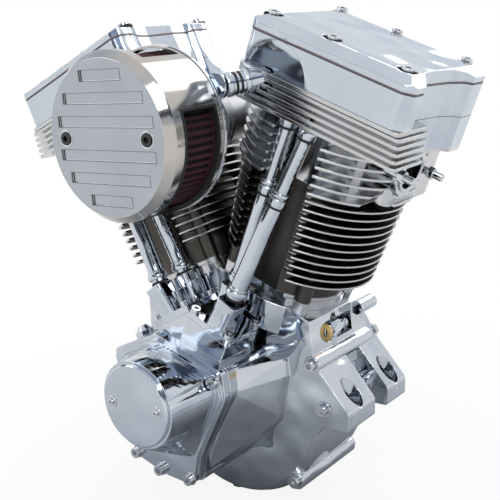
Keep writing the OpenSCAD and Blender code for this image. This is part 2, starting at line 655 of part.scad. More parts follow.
module exhaust_stud_place(s) translate([exhaust_face, exhaust_y + s * 33, head_joint + exhaust_h - s * 4])
  rotate([0, 90, 0]) children();
module front_head() head_part(FRONT);
module rear_head() head_part(REAR);
module exhaust_studs() color([0.8, 0.8, 0.82]) at_crank() for (side = [FRONT, REAR], s = [-1, 1])
  cyl_frame(side) exhaust_stud_place(s) {
    translate([0, 0, -13]) cylinder(r = 4, h = 33);
    translate([0, 0, 4]) cylinder(r = 6.5, h = 6, $fn = 6);
  }
module spark_plugs() color([0.9, 0.9, 0.88]) at_crank() for (side = [FRONT, REAR])
  cyl_frame(side) translate(plug_base + [0, 0, head_joint]) rotate([-plug_lean, 0, plug_turn]) {
    translate([0, 0, 4]) cylinder(r = 7, h = 19);
    translate([0, 0, 22.3]) cylinder(r = 9, h = 9, $fn = 6);
    translate([0, 0, 31]) rotate_extrude() polygon([[0, 0], [7, 0], [7, 3], [5.5, 8], [5, 26],
      [3, 28], [3, 38], [0, 38]]);
  }

// rocker boxes
box_half = (box_out - box_in) / 2;
// one end of the box: two posts with a hollow of a given depth between them
function box_end(deep) = [[box_half - 9, box_right], [box_half, box_right + 8],
  [box_half, box_right + 25], [box_half - deep + 2, box_right + 39], [box_half - deep, box_right + 56],
  [box_half - deep + 3, box_left - 62], [box_half - 6, box_left - 39], [box_half, box_left - 31],
  [box_half, box_left - 7], [box_half - 6, box_left]];
box_pts = concat([for (p = box_end(recess)) [box_mid + p[0], p[1]]],
  [for (i = [9:-1:0]) let (p = box_end(recess_in)[i]) [box_mid - p[0], p[1]]]);
// the box's outline to the left of a line along a
module box_outline(y0 = -far) intersection() {
  polygon(eased(box_pts, 2));
  translate([-far, y0]) square(2 * far);
}
module box_cavity(grow = 0) soft_rect([box_in + recess_in + 5 - grow, box_right + box_wall - grow],
  [box_out - recess - 5 + grow, box_left - box_wall + grow], 6);
scoop_at = [-32, -40];      // the breather scoop's centre: a, and below the cover's joint
scoop_r = 38;
scoop_deep = 9;
cover_bolts = [for (a = [box_in + 9, 5, 87], y = [box_right + 26, box_left - 9]) [a, y]];
column_r = 8;
module rocker_box(side) color([0.83, 0.84, 0.86]) at_crank() keep_side(side, 1)
  cyl_frame(side) difference() {
    union() {
      difference() {
        translate([0, 0, shelf_top]) linear_extrude(box_h) box_outline();
        translate([0, 0, shelf_top - 1]) linear_extrude(box_h + 2) box_cavity();
      }
      difference() {
        translate([0, 0, head_top]) linear_extrude(shelf_h + eps)
          box_outline(shelf_y + 0.5 + gap);
        translate([0, 0, head_top - 1]) linear_extrude(shelf_h + 3) intersection() {
          box_cavity();
          translate([-far, shelf_y - 1]) square(2 * far);
        }
      }
      translate([0, 0, shelf_top]) linear_extrude(box_h)
        soft_rect([box_in + 10, box_right + 1], [scoop_at[0] + scoop_r + 3, box_right + scoop_deep + 3], 1);
      for (p = cover_bolts) {
        translate([p[0], p[1], shelf_top]) cylinder(r = column_r, h = box_h);
        if (p[1] < 0) box([p[0] - 3, box_right + 2, shelf_top], [p[0] + 3, p[1], box_top]);
      }
      intersection() {
        for (t = TRAINS) if (t[0] == side) bridges(t);
        union() {
          translate([0, 0, shelf_top]) linear_extrude(far) box_cavity(2);
          translate([0, 0, head_top + 22.5]) linear_extrude(far)
            soft_rect([box_in + 13, -76], [box_out - 17, shelf_y + 6], 4);
          translate([0, 0, head_top + 1]) linear_extrude(far) intersection() {
            box_cavity(2);
            translate([-far, shelf_y + 1]) square(2 * far);
          }
        }
      }
    }
    translate([scoop_at[0], box_right + scoop_deep, box_top + scoop_at[1]]) rotate([90, 0, 0])
      cylinder(r = scoop_r, h = far);
    for (p = cover_bolts) translate([p[0], p[1], box_top - 15]) cylinder(r = screw_r + gap / 2, h = far);
    uncyl(side) breather_line(side, breather_r + run);
    for (t = TRAINS) if (t[0] == side) uncyl(side) valve_frame(t)
      translate([bridge_xs(t)[0] - 1, shaft_y, shaft_z]) rotate([0, 90, 0])
      cylinder(r = shaft_r + run, h = bridge_xs(t)[1] - bridge_xs(t)[0] + bridge_w + 2);
  }
// puts a child drawn in the crankshaft's frame into a cylinder's frame
module uncyl(side) rotate([0, -half_v, 0]) mirror([side > 0 ? 0 : 1, 0, 0]) children();
bridge_w = 8;
rocker_w = 16;
module bridges(t) uncyl(t[0]) valve_frame(t) for (x = bridge_xs(t))
  translate([x, box_right, shaft_z - 9]) cube([bridge_w, box_left - box_right, 18]);
function rocker_lo(t) = min(-rocker_w / 2, lever_x(t) - rocker_w / 2);
function rocker_hi(t) = max(rocker_w / 2, lever_x(t) + rocker_w / 2);
function bridge_xs(t) = [rocker_lo(t) - bridge_w - gap, rocker_hi(t) + gap];
module front_rocker_box() rocker_box(FRONT);
module rear_rocker_box() rocker_box(REAR);
module rocker_cover(side) color([0.86, 0.87, 0.9]) at_crank() cyl_frame(side) difference() {
  translate([0, 0, box_top]) intersection() {
    translate([0, 0, -2]) linear_extrude(cover_h + 4) box_outline();
    slab(box_right - 5, box_left + 5) polygon([[box_in - 4, -3], [box_out + 4, -3],
      [box_out + 4, cover_h - 9], [box_out - 12, cover_h], [box_in + 10, cover_h],
      [box_in - 4, cover_h - 7]]);
    rotate([0, 0, 90]) slab(-box_out - 5, -box_in + 5) polygon([[box_right - 4, 0],
      [box_left + 4, 0], [box_left + 4, cover_h - 8], [box_left - 16, cover_h + 0.5],
      [box_right + 18, cover_h + 0.5], [box_right - 4, cover_h - 8]]);
  }
  difference() {
    translate([0, 0, box_top - 1]) linear_extrude(7) box_cavity(-2);
    for (p = cover_bolts) translate([p[0], p[1], box_top - 2]) cylinder(r = column_r, h = 10);
  }
  for (p = cover_bolts) translate([p[0], p[1], box_top - 1]) {
    cylinder(r = screw_r + gap / 2, h = far);
    translate([0, 0, 1 + cover_h - 4]) cylinder(r = 2.6 * screw_r, h = far);
  }
}
module front_rocker_cover() rocker_cover(FRONT);
module rear_rocker_cover() rocker_cover(REAR);
module rocker_cover_bolts() color([0.8, 0.8, 0.82]) at_crank() for (side = [FRONT, REAR])
  cyl_frame(side) for (p = cover_bolts) translate([p[0], p[1], cover_top - 4])
    cap_screw(screw_r, cover_h + 5);

// rocker gear
module rocker_shafts() color([0.6, 0.6, 0.62]) at_crank() for (t = TRAINS) valve_frame(t)
  translate([bridge_xs(t)[0] + 1, shaft_y, shaft_z]) rotate([0, 90, 0])
    cylinder(r = shaft_r, h = bridge_xs(t)[1] - bridge_xs(t)[0] + bridge_w - 2);
module rocker_arm(t) color([0.55, 0.55, 0.57]) at_crank() valve_frame(t)
  translate([0, shaft_y, shaft_z]) difference() {
    union() {
      translate([rocker_lo(t), 0, 0]) rotate([0, 90, 0])
        cylinder(r = shaft_r + 4, h = rocker_hi(t) - rocker_lo(t));
      rotate([90, 0, 90]) translate([0, 0, -7]) linear_extrude(14) polygon([[0, -10], [0, 10],
        [valve_arm - 5, 6], [valve_arm + 5, -1], [valve_arm + 5, -5], [valve_arm, -6.7],
        [valve_arm - 5, -6.7]]);
      translate([lever_x(t), 0, 0]) rotate([90, 0, 90]) translate([0, 0, -7]) linear_extrude(14)
        polygon([[0, -10], [0, 10], [-pushrod_arm + 4, 7], [-pushrod_arm - 6, 2],
          [-pushrod_arm - 6, -lever_under], [-pushrod_arm + 9, -lever_under]]);
    }
    rotate([0, 90, 0]) translate([0, 0, -far / 2]) cylinder(r = shaft_r + run, h = far);
  }
module front_intake_rocker() rocker_arm(TRAIN_FI);
module front_exhaust_rocker() rocker_arm(TRAIN_FE);
module rear_intake_rocker() rocker_arm(TRAIN_RI);
module rear_exhaust_rocker() rocker_arm(TRAIN_RE);
module valve(t) color([0.6, 0.58, 0.55]) at_crank() valve_frame(t) rotate_extrude() polygon([
  [0, -3], [head_r(t) - 1, -3], [head_r(t), -1], [head_r(t) - 1, 0.5], [stem_r + 6, 4],
  [stem_r, 14], [stem_r, spring_z1 + gap], [spring_r - 1, spring_z1 + gap],
  [spring_r - 1, spring_z1 + gap + 2], [stem_r + 4, spring_z1 + gap + retainer_h - 1],
  [stem_r, spring_z1 + gap + retainer_h - 1],
  [stem_r, stem_tip - gap / 2], [0, stem_tip - gap / 2]]);
module front_intake_valve() valve(TRAIN_FI);
module front_exhaust_valve() valve(TRAIN_FE);
module rear_intake_valve() valve(TRAIN_RI);
module rear_exhaust_valve() valve(TRAIN_RE);
spring_turns = 5;
spring_wire = 2;
spring_steps = 14;
// a coil of round wire, swept ring by ring
module coil(r, wire, h, turns) {
  n = turns * spring_steps;
  sides = 6;
  pts = [for (i = [0:n]) let (a = i * 360 / spring_steps, z = wire + i * (h - 2 * wire) / n)
    for (k = [0:sides - 1]) let (b = k * 360 / sides, rr = r + wire * cos(b))
      [rr * cos(a), rr * sin(a), z + wire * sin(b)]];
  polyhedron(pts, concat([[for (k = [0:sides - 1]) k]],
    [for (i = [0:n - 1], k = [0:sides - 1]) let (p = i * sides + k,
      q = i * sides + (k + 1) % sides) each [[p, p + sides, q + sides], [p, q + sides, q]]],
    [[for (k = [sides - 1:-1:0]) n * sides + k]]));
}
module valve_springs() color([0.4, 0.4, 0.42]) at_crank() for (t = TRAINS) valve_frame(t)
  translate([0, 0, spring_z0 + 0.2]) coil(spring_r - spring_wire, spring_wire,
    spring_z1 - spring_z0 - 0.2, spring_turns);

// tappets with their rollers and pushrods
axle_r = 2.5;
tine_y = 7.2;     // half the width over the roller's fork, clear of the cam gear
module across(r, w) translate([0, w / 2, roller_dist]) rotate([90, 0, 0]) cylinder(r = r, h = w);
module tappet(t) color([0.6, 0.6, 0.62]) at_crank() {
  tappet_frame(t) {
    difference() {
      union() {
        difference() {
          union() {
            translate([0, 0, lifter_foot]) cylinder(r = lifter_r, h = lifter_len);
            intersection() {
              translate([0, 0, roller_dist - 4]) cylinder(r = lifter_r, h = 10);
              box([-6, -tine_y, roller_dist - 4], [6, tine_y, lifter_foot + 1]);
            }
          }
          box([-lifter_r - 1, -lobe_w / 2 - gap, 0], [lifter_r + 1, lobe_w / 2 + gap,
            roller_dist + roller_r + 1]);
        }
        across(axle_r, 2 * tine_y - 1);
      }
      translate([0, 0, lifter_top - cup_deep]) cylinder(r = ball_r + 1.2, h = 10);
    }
    difference() {
      across(roller_r, lobe_w - 2 * gap);
      across(axle_r + run, lobe_w + 1);
    }
  }
  rod_between(rod_foot(t), rod_head(t), pushrod_r);
  for (p = [rod_foot(t), rod_head(t)]) translate(p) sphere(r = ball_r, $fn = 32);
}
module front_intake_tappet() tappet(TRAIN_FI);
module front_exhaust_tappet() tappet(TRAIN_FE);
module rear_intake_tappet() tappet(TRAIN_RI);
module rear_exhaust_tappet() tappet(TRAIN_RE);

// pushrod tubes: a wide lower sleeve and a thin upper tube that slides into it
tube_split = 0.55;
tube_start_k = (block_top + 4 - (lifter_top - cup_deep + ball_r)) / 262;
tube_end_k = 0.875;
seal_k = 0.008;
function tube_line(t, k) = between(rod_foot(t), rod_head(t), k);
module pushrod_tubes_lower() color([0.85, 0.86, 0.88]) at_crank() for (t = TRAINS) difference() {
  union() {
    rod_between(tube_line(t, tube_start_k + seal_k), tube_line(t, tube_split), tube_lower_r);
    rod_between(tube_line(t, tube_split - 0.025), tube_line(t, tube_split - 0.003),
      tube_lower_r + 1.2);
  }
  rod_between(tube_line(t, 0), tube_line(t, 1), tube_upper_r + run);
}
module pushrod_tubes_upper() color([0.87, 0.88, 0.9]) at_crank() for (t = TRAINS) difference() {
  rod_between(tube_line(t, tube_split - 0.12), tube_line(t, tube_end_k - 0.002), tube_upper_r);
  rod_between(tube_line(t, 0), tube_line(t, 1), tube_upper_r - tube_wall);
}
module pushrod_tube_seals() color([0.08, 0.08, 0.08]) at_crank() for (t = TRAINS) difference() {
  rod_between(tube_line(t, tube_start_k), tube_line(t, tube_start_k + seal_k), tube_lower_r + 0.8);
  rod_between(tube_line(t, 0), tube_line(t, 1), tube_upper_r);
}

// intake
carb_y = [-114, -58];       // the carburettor from its mouth to its flange
flange_t = 6;
module along_x(x0, x1, r) translate([x0, 0, intake_h]) rotate([0, 90, 0])
  cylinder(r = r, h = x1 - x0);
module intake_manifold() color([0.75, 0.76, 0.78]) at_crank() difference() {
  union() {
    along_x(-intake_face + gap, intake_face - gap, manifold_r + 3);
    for (s = [-1, 1]) along_x(s * (intake_face - gap - 3) - 3, s * (intake_face - gap - 3) + 3,
      manifold_r + 8);
    rod_y(0, intake_h, carb_r + 3, carb_y[1], 0);
    rod_y(0, intake_h, carb_r + 12, carb_y[1], carb_y[1] + flange_t);
  }
  along_x(-far, far, manifold_r);
  rod_y(0, intake_h, carb_r, carb_y[1] - 1, 0);
}
module carburettor_body() color([0.55, 0.56, 0.58]) at_crank() difference() {
  union() {
    rod_y(0, intake_h, carb_r + 6, carb_y[0], carb_y[1] - 0.3);
    rod_y(0, intake_h, carb_r + 12, carb_y[1] - flange_t, carb_y[1]);
    rod_y(0, intake_h, carb_r + 12, carb_y[0], carb_y[0] + flange_t);
    box([-24, -102, intake_h - carb_r - 14], [24, -68, intake_h]);
    translate([0, -76, intake_h - carb_r - 9]) cylinder(r = 8, h = 2 * carb_r + 18);
  }
  rod_y(0, intake_h, carb_r, -far, 0);
  translate([0, -76, intake_h - far / 4]) cylinder(r = throttle_shaft_r + run, h = far / 2);
}
throttle_shaft_r = 4;
module throttle_plate() color([0.75, 0.65, 0.35]) at_crank() translate([0, -76, intake_h]) {
  rotate([90, 0, 0]) translate([0, 0, -1]) cylinder(r = carb_r - gap, h = 2);
  translate([0, 0, -carb_r - 11]) cylinder(r = throttle_shaft_r, h = 2 * carb_r + 28);
  translate([0, 0, carb_r + 13]) linear_extrude(4) soft_rect([-22, -7], [9, 7], 5);
}
module float_bowl() color([0.5, 0.51, 0.53]) at_crank() translate([0, -85, intake_h - carb_r - 14])
  rotate_extrude() polygon([[0, -38], [7, -38], [7, -33], [20, -31], [25, -24], [25, -4], [28, -4],
    [28, 0], [0, 0]]);

// air cleaner
shell_y1 = -cleaner_y + 14;           // back edge of the bevelled front disc
ring_y = -cleaner_y + cleaner_depth;  // the backplate's face
module wedge(a0, a1, r) polygon(concat([[0, 0]], [for (k = [0:8]) let (a = a0 + (a1 - a0) * k / 8)
  r * [cos(a), sin(a)]]));
cleaner_c = [0, intake_h];
module at_cleaner() translate([cleaner_c[0], 0, cleaner_c[1]]) children();
slot_rows = [-59, -38, -16, 16, 38, 59];
module air_cleaner_cover() color([0.82, 0.83, 0.85]) at_crank() at_cleaner() difference() {
  union() {
    turned_y(0, 0, shell_y1 + 2, [[0, 0], [cleaner_r, 0], [cleaner_r, 7], [cleaner_r - 1, 8.5],
      [cleaner_r - 7, 16], [0, 16]]);
    difference() {
      rod_y(0, 0, cleaner_r, shell_y1, ring_y - 0.3);
      rod_y(0, 0, cleaner_r - shell_wall, shell_y1, ring_y + 1);
      slab(shell_y1 + 6, ring_y - 6) {
        wedge(18, -84, far / 2);
        wedge(162, 264, far / 2);
        wedge(62, 118, far / 2);
      }
    }
  }
  for (z = slot_rows) translate([0, -cleaner_y - 1, z]) cleaner_slot(z);
  for (s = [-1, 1]) {
    rod_y(s * 54, 0, 4 + gap, -far, 0);
    rod_y(s * 54, 0, 6.5, -far, -cleaner_y + 5);
  }
}
slot_h = 10;
module cleaner_slot(z) {
  w = 2 * sqrt(pow(cleaner_r - 17, 2) - z * z);
  translate([-w / 2, 0, -slot_h / 2]) cube([w, 3, slot_h]);
}
module air_cleaner_screws() color([0.08, 0.08, 0.09]) at_crank() at_cleaner() for (s = [-1, 1])
  translate([s * 54, -cleaner_y, 0]) rotate([90, 0, 0]) translate([0, 0, -5]) cap_screw(4, 10);
filter_r = cleaner_r - 7;
pleats = 60;
module air_filter() color([0.3, 0.06, 0.08]) at_crank() at_cleaner() {
  y0 = shell_y1 + 2.3;
  y1 = ring_y - 0.3;
  slab(y0 + 6, y1 - 6) difference() {
    polygon([for (i = [0:2 * pleats - 1]) let (a = i * 180 / pleats,
      r = filter_r - (i % 2) * 4) r * [cos(a), sin(a)]]);
    circle(r = filter_r - 10);
  }
  for (y = [[y0, y0 + 7], [y1 - 7, y1]]) difference() {
    rod_y(0, 0, filter_r + 1, y[0], y[1]);
    rod_y(0, 0, filter_r - 12, y[0] - 1, y[1] + 1);
  }
}
plate_t = 7;
module air_cleaner_backplate() color([0.84, 0.85, 0.87]) at_crank() at_cleaner() difference() {
  union() {
    turned_y(0, 0, ring_y + plate_t, [[0, 0], [cleaner_r - 4, 0], [cleaner_r + 1, 4],
      [cleaner_r + 1, plate_t], [0, plate_t]]);
    rod_y(0, 0, carb_r + 12, ring_y + plate_t - 1, carb_y[0] - 0.3);
    for (s = [-1, 1]) rod_y(s * 70, breather_dz, 13, ring_y + plate_t - 1, ring_y + plate_t + 4);
  }
  rod_y(0, 0, carb_r + 1, -far, 0);
}
breather_dz = 40;
breather_r = 10;
module breather_line(side, r) rod_between([side * 74, ring_y + plate_t + 4.3,
  intake_h + breather_dz], cyl_pt(side, -28, -50, head_top + 39), r);
module breather_tubes() color([0.85, 0.86, 0.88]) at_crank() for (side = [FRONT, REAR])
  difference() {
    breather_line(side, breather_r);
    slab(-far, ring_y + plate_t + 4.3) circle(r = far);
    slab(box_right + box_wall, far) circle(r = 2 * far);
  }

// crankshaft, rods and pistons
module flywheels() color([0.5, 0.5, 0.52]) at_crank() for (s = [-1, 1]) mirror([0, s > 0 ? 0 : 1, 0])
  difference() {
    turned_y(0, 0, wheel_gap / 2 + wheel_w, [[0, 0], [44, 0], [48, 5], [wheel_r - 14, 7],
      [wheel_r - 10, 2], [wheel_r - 2, 2], [wheel_r, 4], [wheel_r, wheel_w], [0, wheel_w]]);
    rod_y(0, 0, (s > 0 ? main_shaft_r : pinion_shaft_r) + run, 0, far);
    for (a = [-30, 0, 30]) rod_y(-0.7 * wheel_r * cos(a), 0.7 * wheel_r * sin(a), 9, 0, far);
    rod_y(crank_r, 0, crankpin_r - 4, wheel_gap / 2 + 6, far);
  }
main_shaft_r = sprocket_shaft_r + 1.5;   // inside the case, up to a shoulder for the sprocket
module sprocket_shaft() color([0.6, 0.6, 0.62]) at_crank() turned_y(0, 0,
  case_half + boss_out + sprocket_out, [[0, 0], [sprocket_shaft_r - 2, 0], [sprocket_shaft_r, 2],
    [sprocket_shaft_r, sprocket_out - 1], [main_shaft_r, sprocket_out - 1],
    [main_shaft_r, case_half + boss_out + sprocket_out - wheel_gap / 2],
    [0, case_half + boss_out + sprocket_out - wheel_gap / 2]]);
pinion_end = lip_y + 3;
function involute(a) = tan(a) - a * PI / 180;
module spur(teeth, start, bore) {
  r = teeth * gear_m / 2;
  rb = r * cos(20);
  root = r - 1.25 * gear_m;
  tip = r + gear_m;
  half = 90 / teeth - 0.12 / r * 180 / PI;
  function half_at(q) = q <= rb ? half + involute(20) * 180 / PI
    : half + (involute(20) - involute(acos(rb / q))) * 180 / PI;
  rs = [root, for (k = [0:4]) max(root, rb) + (tip - max(root, rb)) * k / 4];
  difference() {
    polygon([for (i = [0:teeth - 1]) let (c = start + i * 360 / teeth)
      each concat([for (q = rs) q * [cos(c - half_at(q)), sin(c - half_at(q))]],
        [for (k = [5:-1:0]) let (q = rs[k]) q * [cos(c + half_at(q)), sin(c + half_at(q))]])]);
    circle(r = bore);
  }
}
module pinion_shaft() color([0.6, 0.6, 0.62]) at_crank() {
  rod_y(0, 0, pinion_shaft_r, pinion_end, -wheel_gap / 2);
  slab(gear_y0, gear_y0 + gear_w) spur(pinion_teeth, 90, pinion_shaft_r + run);
}
module cam_gear() color([0.62, 0.6, 0.5]) at_crank() slab(gear_y0, gear_y0 + gear_w)
  translate([0, cam_h]) difference() {
    spur(2 * pinion_teeth, -90 + 90 / pinion_teeth, 9 + run);
    for (a = [0:60:300]) rotate(a) translate([20, 0]) circle(r = 5);
  }
lobe_nose_r = 6;
module lobe() {
  d = cam_nose_r - lobe_nose_r;
  c = acos((cam_base_r - lobe_nose_r) / d);
  circle(r = cam_base_r);
  translate([0, d]) circle(r = lobe_nose_r);
  polygon([for (s = [1, -1]) cam_base_r * [s * sin(c), cos(c)],
    for (s = [-1, 1]) [s * lobe_nose_r * sin(c), d + lobe_nose_r * cos(c)]]);
}
lobe_turn = [150, 205, 110, 250];
cam_end = -nose_y + 30;
module camshaft() color([0.6, 0.6, 0.62]) at_crank() {
  rod_y(0, cam_h, 9, cam_end, -case_half + 4.7);
  for (i = [0:3]) slab(lobe_y(i) - lobe_w / 2, lobe_y(i) + lobe_w / 2)
    translate([0, cam_h]) rotate(lobe_turn[i]) difference() {
      lobe();
      circle(r = 8.5);
    }
}
module timer_rotor() color([0.35, 0.35, 0.37]) at_crank() difference() {
  union() {
    rod_y(0, cam_h, 24, cam_end - 8, cam_end - 5);
    rod_y(0, cam_h, 24, cam_end - 8, cam_end + 2);
  }
  rod_y(0, cam_h, 21, cam_end - 5, cam_end + 3);
  rod_y(18, cam_h, 8, cam_end - 9, cam_end - 4);
}
module main_bearings() color([0.65, 0.65, 0.68]) at_crank() {
  ring_y(case_half + 1, bearing_w, bearing_r - 0.05, main_shaft_r + run);
  ring_y(-case_half - pinion_bearing_w, pinion_bearing_w + 1, bearing_r - 8.05, pinion_shaft_r + run);
}
module ring_y(y0, w, r1, r0) difference() {
  rod_y(0, 0, r1, y0, y0 + w);
  rod_y(0, 0, r0, y0 - 1, y0 + w + 1);
  difference() {
    rod_y(0, 0, (r1 + r0) / 2 + 1.5, y0 + w - 2, y0 + w + 1);
    rod_y(0, 0, (r1 + r0) / 2 - 1.5, y0 - 2, y0 + w + 2);
  }
}
module crankpin() color([0.6, 0.6, 0.62]) at_crank()
  rod_y(crank_r, 0, crankpin_r, -wheel_gap / 2 + gap, wheel_gap / 2 - gap);
// distance of a piston's pin along its cylinder, with the crankpin at the front
function pin_s(side) = let (c = side * crank_r * sin(half_v))
  c + sqrt(c * c - crank_r * crank_r + rod_len * rod_len);
function pin_at(side) = cyl_pt(side, 0, 0, pin_s(side));
module rod_frame(side) {
  p = pin_at(side);
  translate([crank_r, 0, 0]) rotate([0, atan2(p[0] - crank_r, p[2]), 0]) children();
}
wrist_r = 10;
tine_w = 6;
knife_w = 13;
module rod_beam(w0, w1, z0) polygon([[-w0, z0], [w0, z0], [w1, rod_len], [-w1, rod_len]]);
module front_connecting_rod() color([0.55, 0.55, 0.57]) at_crank() rod_frame(FRONT) difference() {
  union() {
    slab(-knife_w / 2, knife_w / 2) {
      circle(r = crankpin_r + 9);
      rod_beam(15, 11, 0);
    }
    rod_y(0, rod_len, wrist_r + 6, -10, 10);
  }
  for (s = [-1, 1]) slab(s > 0 ? 3 : -far, s > 0 ? far : -3) rod_beam(9, 5, 34);
  rod_y(0, 0, crankpin_r + run, -far, far);
  rod_y(0, rod_len, wrist_r + run, -far, far);
}
module rear_connecting_rod() color([0.55, 0.55, 0.57]) at_crank() rod_frame(REAR) difference() {
  union() {
    for (s = [-1, 1]) slab(s > 0 ? knife_w / 2 + gap : -knife_w / 2 - gap - tine_w,
      s > 0 ? knife_w / 2 + gap + tine_w : -knife_w / 2 - gap) {
      circle(r = crankpin_r + 9);
      polygon([[-17, 0], [17, 0], [13, 70], [-13, 70]]);
    }
    slab(-knife_w / 2 - gap - tine_w, knife_w / 2 + gap + tine_w)
      polygon([[-15, 52], [15, 52], [12, 78], [-12, 78]]);
    slab(-8, 8) rod_beam(13, 11, 70);
    rod_y(0, rod_len, wrist_r + 6, -10, 10);
  }
  rod_y(0, 0, crankpin_r + run, -far, far);
  rod_y(0, rod_len, wrist_r + run, -far, far);
}
crown_h = 34;
skirt_h = 22;
module piston(side) color([0.7, 0.7, 0.72]) at_crank() cyl_frame(side)
  translate([0, 0, pin_s(side)]) {
    difference() {
      rotate_extrude() polygon([[0, crown_h - 7], [38, crown_h - 7], [bore_r - 5, crown_h - 16],
        [bore_r - 5, -skirt_h], [bore_r - 0.2, -skirt_h], [bore_r - 0.2, crown_h - 20],
        [bore_r - 3.5, crown_h - 20], [bore_r - 3.5, crown_h - 17],
        [bore_r - 0.2, crown_h - 17], [bore_r - 0.2, crown_h - 13],
        [bore_r - 3.5, crown_h - 13], [bore_r - 3.5, crown_h - 11],
        [bore_r - 0.2, crown_h - 11], [bore_r - 0.2, crown_h - 7],
        [bore_r - 3.5, crown_h - 7], [bore_r - 3.5, crown_h - 5],
        [bore_r - 0.2, crown_h - 5], [bore_r - 0.2, crown_h], [0, crown_h]]);
      rod_y(0, 0, wrist_r + run, -far, far);
    }
    for (s = [-1, 1]) difference() {
      rod_y(0, 0, wrist_r + 6, s > 0 ? 12 : 6 - bore_r, s > 0 ? bore_r - 6 : -12);
      rod_y(0, 0, wrist_r + run, -far, far);
    }
    rod_y(0, 0, wrist_r, -bore_r + 8, bore_r - 8);
    for (z = [crown_h - 12.9, crown_h - 6.9]) translate([0, 0, z]) difference() {
      cylinder(r = bore_r - 0.1, h = 1.8);
      translate([0, 0, -1]) cylinder(r = bore_r - 3.3, h = 4);
    }
  }
module front_piston() piston(FRONT);
module rear_piston() piston(REAR);
module oil_pump() color([0.7, 0.71, 0.73]) at_crank() difference() {
  slab(-case_half - 30, -case_half - 0.3) polygon(eased([[-128, -46], [-100, -52], [-90, -20],
    [-98, 6], [-120, 8], [-130, -12]], 6));
  rod_y(-112, -20, 8, -case_half - 31, -case_half - 12);
  for (p = case_bolts) rod_y(p[0], p[1], 8, -far, 0);
}

crankcase_left();
crankcase_right();
crankcase_bolts();
crankcase_fittings();
gearcase_cover();
cover_screws();
timer_cover();
front_cylinder();
rear_cylinder();
front_head();
rear_head();
cylinder_studs();
front_rocker_box();
rear_rocker_box();
front_rocker_cover();
rear_rocker_cover();
rocker_cover_bolts();
front_tappet_block();
rear_tappet_block();
pushrod_tubes_upper();
pushrod_tubes_lower();
pushrod_tube_seals();
intake_manifold();
carburettor_body();
float_bowl();
air_cleaner_backplate();
air_filter();
air_cleaner_cover();
air_cleaner_screws();
breather_tubes();
spark_plugs();
exhaust_studs();
oil_pump();
crankpin();
front_connecting_rod();
rear_connecting_rod();
front_piston();
rear_piston();
main_bearings();
rocker_shafts();
valve_springs();
flywheels();
sprocket_shaft();
pinion_shaft();
camshaft();
cam_gear();
timer_rotor();
front_intake_tappet();
front_exhaust_tappet();
rear_intake_tappet();
rear_exhaust_tappet();
front_intake_rocker();
front_exhaust_rocker();
rear_intake_rocker();
rear_exhaust_rocker();
front_intake_valve();
front_exhaust_valve();
rear_intake_valve();
rear_exhaust_valve();
throttle_plate();
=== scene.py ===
# %% [markdown]
# # Looks for the V-twin engine
# The CAD part is the fixed frame. This lesson gives every piece its finish, adds the fine parts that
# are too small for the CAD model, and sets the camera, the lamps and the pale studio.

# %% Load the frame
import json
import math

import bmesh
import bpy
from mathutils import Matrix, Vector


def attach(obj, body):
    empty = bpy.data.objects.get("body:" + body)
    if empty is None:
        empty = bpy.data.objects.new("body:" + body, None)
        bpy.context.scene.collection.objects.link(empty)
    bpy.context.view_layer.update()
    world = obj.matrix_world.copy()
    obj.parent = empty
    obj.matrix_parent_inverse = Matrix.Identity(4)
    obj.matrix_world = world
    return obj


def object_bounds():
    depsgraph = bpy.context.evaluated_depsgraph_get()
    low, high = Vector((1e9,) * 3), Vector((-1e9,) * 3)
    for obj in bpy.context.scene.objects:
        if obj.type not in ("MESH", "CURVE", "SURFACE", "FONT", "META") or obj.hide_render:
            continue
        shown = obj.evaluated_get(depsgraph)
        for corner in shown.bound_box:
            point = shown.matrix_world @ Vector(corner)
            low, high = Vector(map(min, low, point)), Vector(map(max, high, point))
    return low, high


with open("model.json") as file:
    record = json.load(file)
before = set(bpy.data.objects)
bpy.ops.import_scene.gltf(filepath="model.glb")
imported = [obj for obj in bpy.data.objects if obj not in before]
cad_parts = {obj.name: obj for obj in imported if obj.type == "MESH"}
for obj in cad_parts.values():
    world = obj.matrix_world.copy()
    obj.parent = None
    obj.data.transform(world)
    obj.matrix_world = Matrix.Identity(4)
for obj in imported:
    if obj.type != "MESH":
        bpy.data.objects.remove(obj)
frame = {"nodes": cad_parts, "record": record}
first_bounds = [list(map(float, v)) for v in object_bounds()]
record = frame["record"]
nodes = frame["nodes"]
print("nodes:", len(nodes), "bounds:", first_bounds)

# %% [markdown]
# ## Sizes that the pieces share
# The record says where the crankshaft turns. All other places are given in millimetres from that
# point, as a draughtsman would: x to the front, y to the left, z up. Each cylinder leans 22.5 degrees
# from upright and has its own frame, with a outwards from the V and h up the bore.

# %% Shared sizes
joints = {j["name"]: j for j in record["behaviour"]["joints"]}
CRANK = Vector(joints["crank_spin"]["pos_m"])
HALF_V = math.radians(22.5)
FRONT, REAR = 1, -1
MM = 0.001
DECK, SHELF_TOP, BOX_TOP, COVER_TOP = 140, 376, 411, 424    # heights up the bore
PORT_FACE, PORT_Y, PORT_H = 98, -8, 319.5                   # the exhaust port in a cylinder's frame
CLEANER_H, CLEANER_FACE, CLEANER_SHELL = 313, -205, 82      # the air cleaner's height, face and radius
CLEANER_SCREW_X = 54
TIMER_C, TIMER_FACE, TIMER_SCREW_X = (-2, 43), -203, 31     # the round timer cover and its screws


def place(x, y, z):
    """A point given in millimetres from the crankshaft's centre."""
    return CRANK + MM * Vector((x, y, z))


def cyl_matrix(side):
    """A cylinder's own frame, in millimetres."""
    a = Vector((side * math.cos(HALF_V), 0, -math.sin(HALF_V)))
    h = Vector((side * math.sin(HALF_V), 0, math.cos(HALF_V)))
    m = Matrix.Identity(4)
    for i in range(3):
        m[i][0], m[i][1], m[i][2], m[i][3] = MM * a[i], (0, MM, 0)[i], MM * h[i], CRANK[i]
    return m


